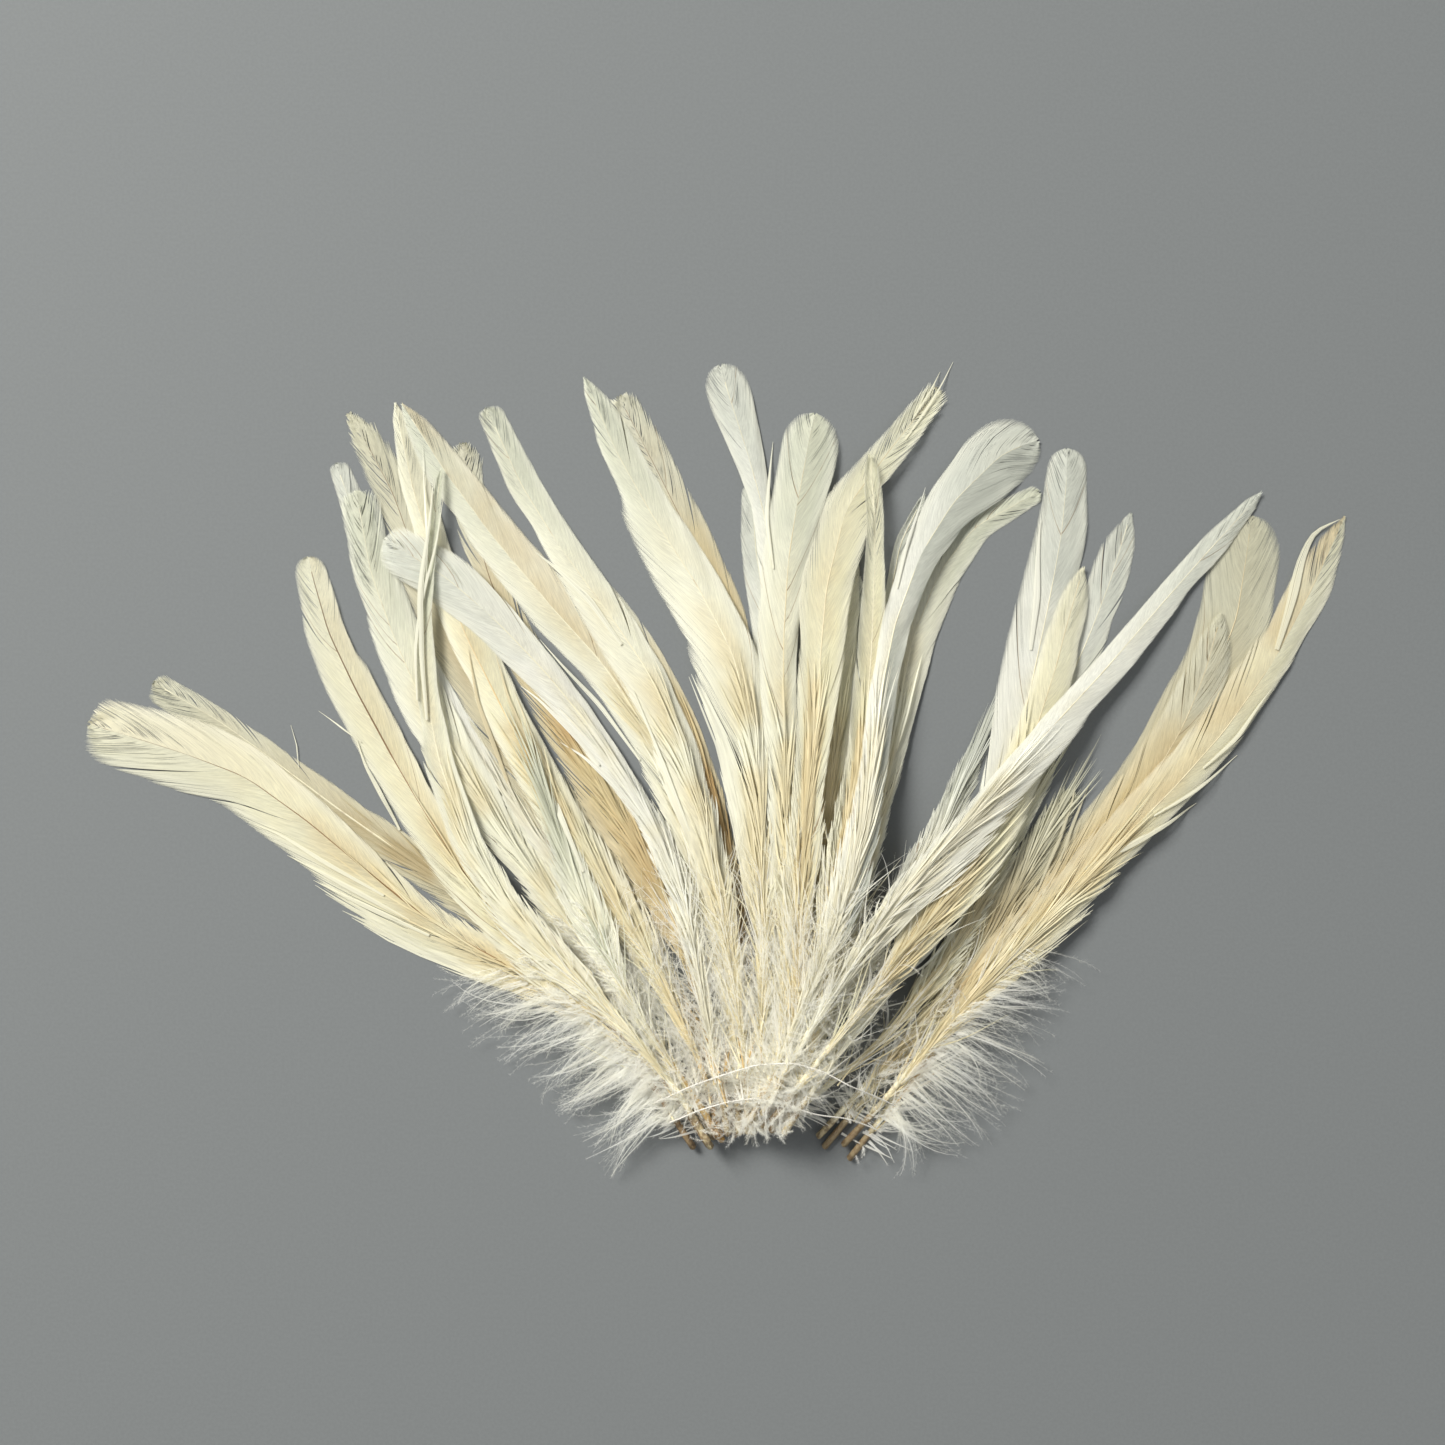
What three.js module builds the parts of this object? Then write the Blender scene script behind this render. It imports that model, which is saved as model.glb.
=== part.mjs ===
// A strung bunch of rooster tail feathers, fanned out on a table: 36 feathers whose quills are
// sewn together by two rows of thread. Millimetres, +Z up, the table at Z = 0.
import * as THREE from "three";

// Driving sizes
const LONGEST_FEATHER = 280;
const QUILL_RADIUS = 1.3;
const SHAFT_TIP_RADIUS = 0.35;
const QUILL_SHOULDER = 1.7;
const VANE_THICKNESS = 0.5;
const SHAFT_RIDGE = 0.15;
const THINNEST_VANE = 0.3;
// The vanes sink from the shaft's upper side to its underside by this share of its length
const FLAT_FROM = 0.7;
const THREAD_RADIUS = 0.35;
const CLEARANCE = 0.34;

// Places read off the photograph are in its pixels, and the longest feather gives their scale
const LONGEST_FEATHER_PIXELS = 763;
const MM_PER_PIXEL = LONGEST_FEATHER / LONGEST_FEATHER_PIXELS;
const ORIGIN_PIXEL = { x: 713.5, y: 758 };

// The bare quill, then the downy part, then the vane, measured along the shaft from the cut end
const BARE_QUILL = 28;
const DOWN_LOCKS = [
  { along: 31, reach: 0.9, sweep: -0.26 },
  { along: 42, reach: 1.0, sweep: 0.1 },
  { along: 53, reach: 0.85, sweep: 0.35 },
  { along: 64, reach: 0.68, sweep: 0.5 },
  { along: 76, reach: 0.5, sweep: 0.7 },
];
const LOCK_VALLEY = 0.5;
const SHORTEST_LOCK = 0.85;
const LOCK_SPREAD = 0.3;
// Down that reaches no further is hidden in its neighbours', and has every other lock
const INNER_DOWN = 8;
const VANE_START = 86;
const VANE_STEPS = 7;
// A tip's length in millimetres or, if round, in half widths, and the shares of it left at its sections
const TIPS = {
  round: { halfWidths: 1.25, shares: [1, 0.45, 0.12] },
  blunt: { length: 5, shares: [1, 0.35, 0.08] },
  point: { length: 1.5, shares: [1, 0.1] },
};
const NOTCH_DEPTH = 0.26;
const NOTCH_LENGTH = 5;
const NOTCH_SWEEP = 4.5;

// How a feather hangs between what holds it up: the curvature of its sag, per millimetre
const FEATHER_SAG = 1 / 800;
const SETTLING_PASSES = 300;
const SKIN_STEP = 0.45;
const PILE_CELL = 0.5;
const PILE_HALF_WIDTH = 260;
const PILE_HALF_DEPTH = 180;

// How far a quill may slide sideways to a lower seat; the points after its end slide less
const SLIDE_STEP = 0.8;
const SLIDE_STEPS = 9;
const WORTHWHILE_DROP = 0.2;
const SLIDE_SHARES = [1, 0.75, 0.35];
const UP = new THREE.Vector3(0, 0, 1);

// The corners of a cross section's ring that make its underside and its top
const UNDERSIDE = [0, 5, 4];
const TOP = [0, 1, 2, 3, 4];

// Finishes of the bleached feathers, from white to the browner ones
const FINISHES = {
  white: new THREE.MeshStandardMaterial({ color: 0xf1efe6, roughness: 0.62, metalness: 0 }),
  ivory: new THREE.MeshStandardMaterial({ color: 0xece6cd, roughness: 0.6, metalness: 0 }),
  cream: new THREE.MeshStandardMaterial({ color: 0xe7d9b2, roughness: 0.6, metalness: 0 }),
  tan: new THREE.MeshStandardMaterial({ color: 0xd3b98a, roughness: 0.6, metalness: 0 }),
  khaki: new THREE.MeshStandardMaterial({ color: 0xbdb391, roughness: 0.65, metalness: 0 }),
  thread: new THREE.MeshStandardMaterial({ color: 0xf4f2ea, roughness: 0.9, metalness: 0 }),
};

// Each feather, the lowest in the pile first. A rachis point is [pixel x, pixel y, left, right]:
// the last two are the vane's half widths in millimetres, seen from the quill towards the tip.
// down is the reach of the fluff to the left and to the right, in millimetres.
const FEATHERS = [
  {
    name: "feather_01_left_under", finish: "khaki", tip: "blunt", down: [14, 5],
    rachis: [
      [704, 1134, 6, 6], [662, 1070, 6, 6], [600, 1000, 6, 6], [540, 950, 6, 6], [480, 905, 6, 6],
      [420, 865, 7, 7], [354, 820, 7, 7], [294, 776, 6, 5], [230, 728, 9, 5], [150, 680, 5, 4],
    ],
  },
  {
    name: "feather_02_centre_frayed", finish: "khaki", tip: "blunt", down: [6, 6],
    rachis: [
      [750, 1128, 6, 6], [764, 1050, 6, 6], [768, 970, 6, 6], [770, 890, 6, 6], [768, 810, 7, 6],
      [760, 740, 7, 6], [745, 670, 8, 6], [722, 605, 8, 7], [694, 545, 8, 8], [664, 485, 8, 7],
      [640, 435, 7, 8], [616, 392, 3, 4],
    ],
  },
  {
    name: "feather_03_blue_white", finish: "white", tip: "round", down: [6, 6],
    rachis: [
      [754, 1126, 5, 5], [768, 1040, 5, 5], [775, 960, 5, 5], [778, 880, 5, 5], [778, 800, 5, 5],
      [776, 720, 5, 5], [770, 640, 6, 5], [760, 580, 5.5, 5], [753, 525, 5, 5], [752, 478, 3, 3],
    ],
  },
  {
    name: "feather_04_right_round", finish: "khaki", tip: "round", down: [12, 12],
    rachis: [
      [824, 1146, 5, 5], [868, 1092, 5, 5], [915, 1040, 5, 5], [965, 985, 5, 5], [1012, 935, 8, 7],
      [1055, 885, 9, 8], [1095, 838, 10, 9], [1135, 790, 9, 9], [1175, 735, 10, 9],
      [1208, 685, 13, 10], [1232, 635, 13.5, 12], [1244, 575, 14.5, 13.5], [1252, 508, 11, 11],
    ],
  },
  {
    name: "feather_05_right_frayed", finish: "khaki", tip: "blunt", down: [6, 6],
    rachis: [
      [828, 1143, 6, 6], [872, 1088, 6, 6], [918, 1030, 6, 6], [958, 980, 6, 6], [992, 930, 7, 7],
      [1020, 880, 7, 7], [1045, 835, 5, 6], [1074, 786, 1.5, 1.5],
    ],
  },
  {
    name: "feather_06_left_grey", finish: "white", tip: "blunt", down: [6, 6],
    rachis: [
      [720, 1128, 6, 6], [680, 1040, 6, 6], [620, 950, 6, 6], [560, 870, 6, 6], [500, 785, 6, 6],
      [440, 700, 6, 6], [400, 620, 6, 6], [368, 545, 5, 6], [347, 495, 3, 6], [335, 460, 2.5, 3],
    ],
  },
  {
    name: "feather_07_left_frayed", finish: "khaki", tip: "blunt", down: [6, 6],
    rachis: [
      [724, 1130, 6, 6], [692, 1040, 6, 6], [642, 940, 6, 6], [582, 850, 8, 8], [522, 760, 9, 9],
      [467, 665, 10, 9], [425, 580, 8, 8], [396, 500, 7, 8], [374, 450, 5, 8], [346, 409, 1.5, 2],
    ],
  },
  {
    name: "feather_08_left_ragged", finish: "khaki", tip: "blunt", down: [12, 5],
    rachis: [
      [716, 1134, 6, 6], [670, 1056, 6, 6], [605, 968, 6, 6], [540, 880, 6, 6], [480, 797, 8, 8],
      [432, 720, 9, 9], [402, 655, 8, 10], [380, 595, 7.5, 9], [362, 540, 6, 7], [358, 487, 7, 8],
    ],
  },
  {
    name: "feather_09_centre_shaded", finish: "khaki", tip: "point", down: [6, 6],
    rachis: [
      [745, 1130, 4, 4], [745, 1050, 4, 4], [740, 970, 4, 4], [732, 890, 4.5, 3], [718, 820, 5, 4],
      [698, 755, 5, 4], [668, 690, 5, 5], [630, 625, 4, 4], [590, 570, 1, 1],
    ],
  },
  {
    name: "feather_10_tan", finish: "tan", tip: "round", down: [6, 6],
    rachis: [
      [735, 1132, 6, 6], [716, 1040, 6, 6], [692, 960, 6, 6], [656, 880, 7, 7], [616, 810, 9, 8],
      [580, 750, 9, 8], [546, 690, 8.5, 7], [514, 630, 8, 5.5], [486, 570, 7, 6],
      [470, 505, 6, 6], [462, 436, 6, 6],
    ],
  },
  {
    name: "feather_11_right_tan", finish: "tan", tip: "point", down: [6, 6],
    rachis: [
      [834, 1145, 6, 6], [880, 1090, 6, 6], [930, 1035, 6, 6], [980, 980, 6, 6], [1030, 925, 7, 6],
      [1075, 875, 8, 8], [1115, 828, 10, 9], [1152, 778, 10, 10], [1182, 725, 9, 10],
      [1205, 668, 6, 9], [1221, 608, 1.5, 1.5],
    ],
  },
  {
    name: "feather_12_pale_narrow", finish: "white", tip: "point", down: [6, 6],
    rachis: [
      [762, 1116, 5, 5], [790, 1040, 5, 5], [808, 960, 5, 5], [824, 880, 5, 5], [838, 810, 5, 5],
      [848, 745, 4, 4], [853, 680, 4, 4], [855, 620, 3.5, 3.5], [860, 575, 1.5, 1],
    ],
  },
  {
    name: "feather_13_grey_tip", finish: "white", tip: "blunt", down: [6, 6],
    rachis: [
      [769, 1113, 5, 5], [815, 1052, 5, 5], [868, 992, 5, 5], [920, 932, 5, 5], [965, 872, 5, 5],
      [1000, 815, 5, 5], [1030, 755, 6, 6], [1060, 700, 6, 7], [1085, 645, 7, 7],
      [1105, 595, 8, 6], [1121, 550, 7.5, 6], [1132, 507, 3.5, 2.5],
    ],
  },
  {
    name: "feather_14_short_wisp", finish: "white", tip: "point", down: [6, 6],
    rachis: [
      [771, 1111, 4, 4], [812, 1050, 4, 4], [850, 985, 4, 4], [885, 925, 4, 4], [915, 875, 5, 5],
      [940, 830, 4.5, 5], [960, 785, 4.5, 5], [982, 736, 1, 1],
    ],
  },
  {
    name: "feather_15_low_right", finish: "cream", tip: "point", down: [5, 13],
    rachis: [
      [766, 1109, 4, 4], [825, 1068, 4, 4], [885, 1025, 4, 4], [930, 975, 3.5, 3.5],
      [965, 925, 3.5, 3], [992, 876, 4, 3], [1010, 840, 5, 4], [1030, 800, 4, 4],
      [1056, 757, 1, 1],
    ],
  },
  {
    name: "feather_16_white_sliver", finish: "white", tip: "point", down: [6, 6],
    rachis: [
      [767, 1116, 3, 3], [800, 1045, 3, 3], [828, 965, 3, 3], [850, 890, 3, 3], [866, 820, 3, 3],
      [877, 750, 3, 3], [885, 680, 2.5, 2.5], [889, 620, 2.5, 2.5], [894, 572, 2, 2],
      [906, 525, 2, 2], [928, 488, 0.6, 0.6],
    ],
  },
  {
    name: "feather_17_top_round", finish: "white", tip: "round", down: [6, 6],
    rachis: [
      [753, 1122, 5, 5], [770, 1040, 5, 5], [778, 960, 5, 5], [782, 880, 5, 5], [783, 800, 5, 5],
      [782, 720, 5, 5], [779, 640, 5, 5], [772, 570, 5, 4], [762, 505, 3.2, 2.8],
      [748, 455, 5, 5], [731, 405, 8, 8.5], [719, 358, 8, 8],
    ],
  },
  {
    name: "feather_18_yellow_vane", finish: "cream", tip: "round", down: [6, 6],
    rachis: [
      [761, 1122, 5, 5], [785, 1040, 5, 5], [802, 960, 5, 5], [816, 880, 5, 5], [826, 810, 5, 5],
      [834, 740, 6, 5], [840, 670, 6, 5], [846, 610, 5, 4.5], [850, 552, 3, 3],
    ],
  },
  {
    name: "feather_19_far_left", finish: "ivory", tip: "round", down: [36, 5],
    rachis: [
      [706, 1137, 6, 6], [667, 1080, 6, 6], [622, 1032, 7, 6], [560, 992, 8, 5], [480, 950, 9, 5],
      [400, 898, 14, 5.5], [330, 838, 15, 8], [250, 779, 12.5, 10.5], [170, 748, 14, 14.5],
      [82, 722, 12, 8],
    ],
  },
  {
    name: "feather_20_left_dark_shaft", finish: "cream", tip: "round", down: [18, 5],
    rachis: [
      [709, 1141, 5, 4], [673, 1085, 5, 4], [628, 1033, 5, 4], [585, 1000, 5, 4],
      [545, 966, 5, 4], [500, 920, 6, 5], [450, 850, 9, 6], [405, 778, 9, 7], [362, 702, 10, 8],
      [335, 645, 9, 6], [316, 605, 6, 7], [308, 549, 4.5, 5.5],
    ],
  },
  {
    name: "feather_21_left_point", finish: "white", tip: "point", down: [6, 6],
    rachis: [
      [728, 1134, 6, 6], [702, 1050, 6, 6], [654, 960, 6, 6], [603, 880, 6, 6], [554, 800, 8, 7],
      [512, 725, 8, 7], [479, 660, 7, 8], [450, 600, 6, 8], [426, 530, 6, 6], [405, 455, 3, 7],
      [395, 401, 0.8, 1],
    ],
  },
  {
    name: "feather_22_left_broad", finish: "ivory", tip: "point", down: [6, 6],
    rachis: [
      [739, 1128, 6, 5], [734, 1050, 6, 5], [723, 960, 6, 5], [707, 880, 6, 5], [683, 805, 8, 6],
      [651, 735, 8, 9], [606, 668, 8, 9], [550, 605, 9, 10], [492, 535, 8, 9], [441, 465, 7, 7],
      [400, 400, 1, 1],
    ],
  },
  {
    name: "feather_23_white_cross", finish: "white", tip: "blunt", down: [6, 6],
    rachis: [
      [732, 1128, 4, 4], [716, 1050, 4, 4], [701, 970, 4, 4], [686, 905, 4, 4], [666, 850, 4, 4],
      [640, 802, 4, 3.5], [606, 750, 7, 4], [571, 702, 7, 4.5], [526, 650, 8, 5.5],
      [476, 602, 10, 8], [426, 562, 10, 10], [382, 538, 9, 6],
    ],
  },
  {
    name: "feather_24_white_short", finish: "white", tip: "point", down: [14, 5],
    rachis: [
      [719, 1131, 5, 5], [692, 1085, 5, 5], [657, 1035, 6, 6], [622, 978, 7, 7], [594, 920, 7, 6],
      [571, 862, 5, 4], [550, 805, 1, 1],
    ],
  },
  {
    name: "feather_25_left_upright", finish: "white", tip: "point", down: [6, 6],
    rachis: [
      [713, 1139, 5, 5], [678, 1080, 5, 5], [630, 1022, 5, 5], [553, 950, 5, 5], [503, 893, 6, 5],
      [465, 830, 6, 5], [444, 770, 5.5, 5.5], [430, 710, 3.5, 5], [425, 650, 2.2, 2.8],
      [428, 600, 2.6, 2.6], [436, 530, 2.2, 2.2], [444, 466, 0.7, 0.7],
    ],
  },
  {
    name: "feather_26_left_folded", finish: "cream", tip: "blunt", down: [6, 6],
    rachis: [
      [743, 1126, 5, 4], [740, 1050, 5, 4], [731, 960, 5, 4], [717, 880, 5, 4], [699, 800, 8, 5],
      [677, 730, 11, 5], [646, 668, 11, 6], [606, 610, 9, 7], [566, 555, 5, 7], [530, 500, 5, 7],
      [504, 450, 5, 6], [485, 403, 3.5, 4.5],
    ],
  },
  {
    name: "feather_27_longest", finish: "ivory", tip: "point", down: [6, 6],
    rachis: [
      [748, 1124, 7, 6], [756, 1050, 7, 6], [760, 970, 7, 6], [762, 880, 8, 6], [760, 800, 10, 6],
      [753, 730, 12, 6], [738, 670, 15, 8], [713, 612, 15.5, 9.5], [680, 560, 11.5, 8],
      [646, 505, 8.5, 8.5], [613, 445, 4.5, 8], [583, 375, 0.8, 0.8],
    ],
  },
  {
    name: "feather_28_centre_round", finish: "white", tip: "round", down: [6, 6],
    rachis: [
      [757, 1120, 5, 5], [774, 1040, 5, 5], [782, 960, 5, 5], [786, 880, 5, 5], [785, 800, 6, 5],
      [783, 720, 7, 4.5], [783, 640, 9.5, 5], [787, 570, 9.5, 6], [796, 510, 9.5, 9],
      [806, 455, 10, 12], [816, 408, 9, 10],
    ],
  },
  {
    name: "feather_29_right_round", finish: "ivory", tip: "blunt", down: [6, 6],
    rachis: [
      [766, 1112, 5, 4], [803, 1040, 5, 4], [832, 960, 5, 4], [856, 880, 6, 4], [877, 810, 8, 4],
      [892, 745, 9, 5], [903, 680, 9, 7], [916, 625, 7, 9], [938, 575, 6, 8], [966, 535, 5, 6],
      [1002, 508, 3.5, 4], [1046, 490, 2.8, 2.8],
    ],
  },
  {
    name: "feather_30_bent_frayed", finish: "cream", tip: "blunt", down: [6, 6],
    rachis: [
      [760, 1118, 5, 5], [780, 1040, 5, 5], [792, 960, 5, 5], [799, 880, 5, 5], [806, 800, 5, 5],
      [813, 730, 6, 6], [819, 660, 8, 8], [824, 600, 9.5, 9], [833, 545, 10, 10],
      [852, 500, 7.5, 8.5], [880, 462, 5.5, 6.5], [912, 425, 4.5, 5.5], [942, 384, 3.5, 4],
    ],
  },
  {
    name: "feather_31_rolled", finish: "cream", tip: "point", down: [6, 6],
    rachis: [
      [764, 1114, 5, 5], [791, 1040, 5, 5], [813, 960, 5, 5], [833, 880, 5, 5], [849, 810, 5, 5],
      [861, 745, 5, 5], [868, 680, 6, 5], [872, 620, 4.5, 4.5], [873, 560, 3, 3],
      [873, 505, 3.4, 3.4], [868, 452, 1.8, 1.8],
    ],
  },
  {
    name: "feather_32_paddle", finish: "ivory", tip: "round", down: [6, 6],
    rachis: [
      [765, 1118, 5, 5], [796, 1040, 5, 5], [823, 960, 5, 5], [846, 880, 5, 5], [863, 810, 5, 5],
      [874, 740, 5, 5], [883, 670, 4, 5], [897, 610, 5, 6], [916, 562, 6.5, 6],
      [942, 518, 8, 7], [972, 478, 10, 10.5], [1004, 453, 13, 13], [1046, 438, 9, 14],
    ],
  },
  {
    name: "feather_33_white_round", finish: "white", tip: "round", down: [6, 6],
    rachis: [
      [768, 1110, 5, 5], [813, 1051, 5, 5], [863, 995, 5, 5], [913, 938, 5, 5], [956, 880, 5, 5],
      [986, 825, 6, 6], [1009, 770, 7, 6], [1025, 710, 12, 7], [1038, 650, 12.5, 8],
      [1050, 595, 11, 9.5], [1060, 540, 9, 9.5], [1067, 490, 7, 7], [1066, 443, 6.5, 6.5],
    ],
  },
  {
    name: "feather_34_tan_middle", finish: "tan", tip: "point", down: [5, 12],
    rachis: [
      [770, 1108, 5, 5], [819, 1045, 5, 5], [866, 985, 5, 5], [906, 938, 6, 5], [951, 882, 8, 9],
      [986, 833, 8, 8.5], [1013, 780, 7, 8], [1035, 725, 7, 8], [1053, 670, 7, 7],
      [1068, 615, 5, 6], [1084, 562, 1.5, 1.2],
    ],
  },
  {
    name: "feather_35_long_white", finish: "white", tip: "point", down: [6, 6],
    rachis: [
      [771, 1106, 3, 4], [801, 1045, 3, 4], [833, 985, 3, 5], [863, 935, 3, 8], [903, 883, 3.5, 9.5],
      [951, 830, 3.5, 9], [1004, 774, 4, 8.5], [1059, 714, 4.5, 8.5], [1111, 660, 5, 6.5],
      [1161, 603, 5, 5], [1213, 545, 4.5, 4.5], [1264, 489, 0.8, 0.8],
    ],
  },
  {
    name: "feather_36_far_right", finish: "tan", tip: "point", down: [5, 31],
    rachis: [
      [843, 1143, 5, 6], [885, 1092, 5, 6], [930, 1035, 5, 7], [976, 985, 5, 8], [1020, 940, 6, 8],
      [1065, 892, 7, 8], [1110, 848, 9, 7], [1155, 803, 10, 7], [1197, 760, 10, 7.5],
      [1232, 718, 10, 7], [1264, 672, 9, 6], [1292, 624, 7.5, 7], [1318, 575, 9, 7],
      [1345, 515, 0.8, 0.8],
    ],
  },
];

// The two rows of stitching, left to right, in the photograph's pixels
const THREAD_ROWS = [
  {
    name: "thread_upper_row",
    route: [
      [641, 1110], [662, 1092], [690, 1077], [720, 1065], [755, 1053], [790, 1050], [820, 1059],
      [850, 1076], [880, 1092], [918, 1116],
    ],
  },
  {
    name: "thread_lower_row",
    route: [
      [655, 1130], [676, 1112], [700, 1100], [728, 1090], [755, 1085], [782, 1090], [815, 1103],
      [845, 1110], [870, 1122], [902, 1142],
    ],
  },
];
const THREAD_STEPS = 34;
const THREAD_SIDES = 4;
const THREAD_OVERHANG = 0.6;
const THREAD_CHECK = 0.125;

// A plan place, in millimetres, of a pixel of the photograph
function plan([x, y]) {
  return new THREE.Vector3((x - ORIGIN_PIXEL.x) * MM_PER_PIXEL, (ORIGIN_PIXEL.y - y) * MM_PER_PIXEL, 0);
}

// Repeatable small variations: a number from 0 to 1 for each seed
const SEED_STEP = 7.3;
function scatter(seed) {
  const wave = Math.sin(seed * 12.9898 + 4.1414) * 43758.5453;
  return wave - Math.floor(wave);
}

// The height of what already lies on the table, on a square grid
class PileMap {
  constructor(halfWidth, halfDepth, cell) {
    this.cell = cell;
    this.halfWidth = halfWidth;
    this.halfDepth = halfDepth;
    this.columns = Math.ceil((2 * halfWidth) / cell);
    this.rows = Math.ceil((2 * halfDepth) / cell);
    this.heights = new Float64Array(this.columns * this.rows).fill(-CLEARANCE);
  }

  column(x) {
    return Math.floor((x + this.halfWidth) / this.cell);
  }

  row(y) {
    return Math.floor((y + this.halfDepth) / this.cell);
  }

  raise(x, y, z) {
    const at = this.row(y) * this.columns + this.column(x);
    this.heights[at] = Math.max(this.heights[at], z);
  }

  // The highest point in the cell at x, y and its eight neighbours
  under(x, y) {
    let highest = -CLEARANCE;
    for (let row = this.row(y) - 1; row <= this.row(y) + 1; row++)
      for (let column = this.column(x) - 1; column <= this.column(x) + 1; column++)
        highest = Math.max(highest, this.heights[row * this.columns + column]);
    return highest;
  }
}

// A smooth line through plan points with values beside it, measured along its length
class Route {
  constructor(points, values) {
    const line = new THREE.CatmullRomCurve3(points, false, "centripetal");
    const samples = 240;
    this.samples = [];
    let length = 0;
    for (let i = 0; i <= samples; i++) {
      const point = line.getPoint(i / samples);
      const spans = (points.length - 1) * (i / samples);
      const span = Math.min(Math.floor(spans), points.length - 2);
      const value = values[span].clone().lerp(values[span + 1], spans - span);
      if (i) length += point.distanceTo(this.samples[i - 1].point);
      this.samples.push({ point, value, along: length });
    }
    this.length = length;
  }

  at(along) {
    const samples = this.samples;
    let i = 1;
    while (i < samples.length - 1 && samples[i].along < along) i++;
    const [a, b] = [samples[i - 1], samples[i]];
    const share = (along - a.along) / (b.along - a.along);
    const tangent = b.point.clone().sub(a.point).normalize();
    return {
      point: a.point.clone().lerp(b.point, share),
      value: a.value.clone().lerp(b.value, share),
      tangent,
      left: new THREE.Vector3(-tangent.y, tangent.x, 0),
    };
  }
}

// One cross section of a feather: the shaft, with the vanes held at its upper side
function section(route, along, { left, right, sweepLeft = 0, sweepRight = 0, bare = false }) {
  const { point, tangent, left: side } = route.at(along);
  const share = Math.min(1, along / route.length);
  const shaft = THREE.MathUtils.lerp(QUILL_RADIUS, SHAFT_TIP_RADIUS, share);
  const underside = QUILL_RADIUS * Math.max(0, 1 - share / FLAT_FROM);
  const vaneTop = bare ? QUILL_SHOULDER * shaft : underside + VANE_THICKNESS;
  const edge = (reach, sweep, sign) =>
    point.clone().addScaledVector(side, sign * reach).addScaledVector(tangent, sweep);
  const ring = [
    edge(left, sweepLeft, 1).setZ(underside),
    edge(Math.min(shaft, left), 0, 1).setZ(vaneTop),
    point.clone().setZ(Math.max(2 * shaft, vaneTop + SHAFT_RIDGE)),
    edge(Math.min(shaft, right), 0, -1).setZ(vaneTop),
    edge(right, sweepRight, -1).setZ(underside),
    point.clone().setZ(0),
  ];
  return { along, ring };
}

// The bare, round part of the quill
function quillSections(route) {
  return [0, BARE_QUILL / 2, BARE_QUILL].map((along) =>
    section(route, along, { left: QUILL_RADIUS, right: QUILL_RADIUS, bare: true }),
  );
}

// The fluffy part: locks that stand out from the shaft, with a valley between each pair
function downSections(route, [reachLeft, reachRight], seed) {
  const outermost = Math.max(reachLeft, reachRight) > INNER_DOWN;
  const locks = DOWN_LOCKS.filter((_, i) => outermost || i % 2 === 0).map(({ along, reach, sweep }, i) => {
    const left = reachLeft * reach * (SHORTEST_LOCK + LOCK_SPREAD * scatter(seed + i));
    const right = reachRight * reach * (SHORTEST_LOCK + LOCK_SPREAD * scatter(seed + i + 20));
    return { along, left, right, sweepLeft: sweep * left, sweepRight: sweep * right };
  });
  const between = (a, b) =>
    Object.fromEntries(
      Object.keys(a).map((key) => [key, (key === "along" ? 0.5 : LOCK_VALLEY / 2) * (a[key] + b[key])]),
    );
  return locks
    .flatMap((lock, i) => (i ? [between(locks[i - 1], lock), lock] : [lock]))
    .map(({ along, ...edges }) => section(route, along, edges));
}

// The vane, with notches where barbs have parted, up to the rounding of its tip
function vaneSections(route, tip, seed) {
  const edgesAt = (along) => {
    const { value } = route.at(along);
    return { left: Math.max(THINNEST_VANE, value.x), right: Math.max(THINNEST_VANE, value.y) };
  };
  const last = edgesAt(route.length);
  const { halfWidths, shares, length } = TIPS[tip];
  const rounding = length ?? halfWidths * Math.max(last.left, last.right);
  const end = route.length - rounding;
  const step = (end - VANE_START) / VANE_STEPS;
  const made = [];
  for (let i = 0; i < VANE_STEPS; i++) {
    const along = VANE_START + i * step;
    const edges = edgesAt(along);
    const notched = scatter(seed + i + 40) < 0.5 ? "Left" : "Right";
    if (i % 2 === 0 || step < 2 * NOTCH_LENGTH) {
      made.push(section(route, along, edges));
      continue;
    }
    const key = notched.toLowerCase();
    const before = edgesAt(along + NOTCH_LENGTH);
    made.push(section(route, along, { ...edges, ["sweep" + notched]: NOTCH_SWEEP }));
    made.push(section(route, along + NOTCH_LENGTH, { ...before, [key]: before[key] * (1 - NOTCH_DEPTH) }));
  }
  for (const share of shares) {
    const along = route.length - rounding * share;
    const edges = edgesAt(along);
    const fullness = tip === "point" ? 1 : Math.sqrt(1 - (1 - share) ** 2);
    made.push(section(route, along, { left: edges.left * fullness, right: edges.right * fullness }));
  }
  return made;
}

// Closely spaced points on the skin between two sections, over the ring corners listed
function* across(from, to, corners) {
  const rows = Math.ceil(Math.max(...corners.map((k) => from.ring[k].distanceTo(to.ring[k]))) / SKIN_STEP);
  for (let row = 0; row <= rows; row++)
    for (let k = 0; k + 1 < corners.length; k++) {
      const a = from.ring[corners[k]].clone().lerp(to.ring[corners[k]], row / rows);
      const b = from.ring[corners[k + 1]].clone().lerp(to.ring[corners[k + 1]], row / rows);
      const columns = Math.max(1, Math.ceil(a.distanceTo(b) / SKIN_STEP));
      for (let column = 0; column <= columns; column++) yield a.clone().lerp(b, column / columns);
    }
}

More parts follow.
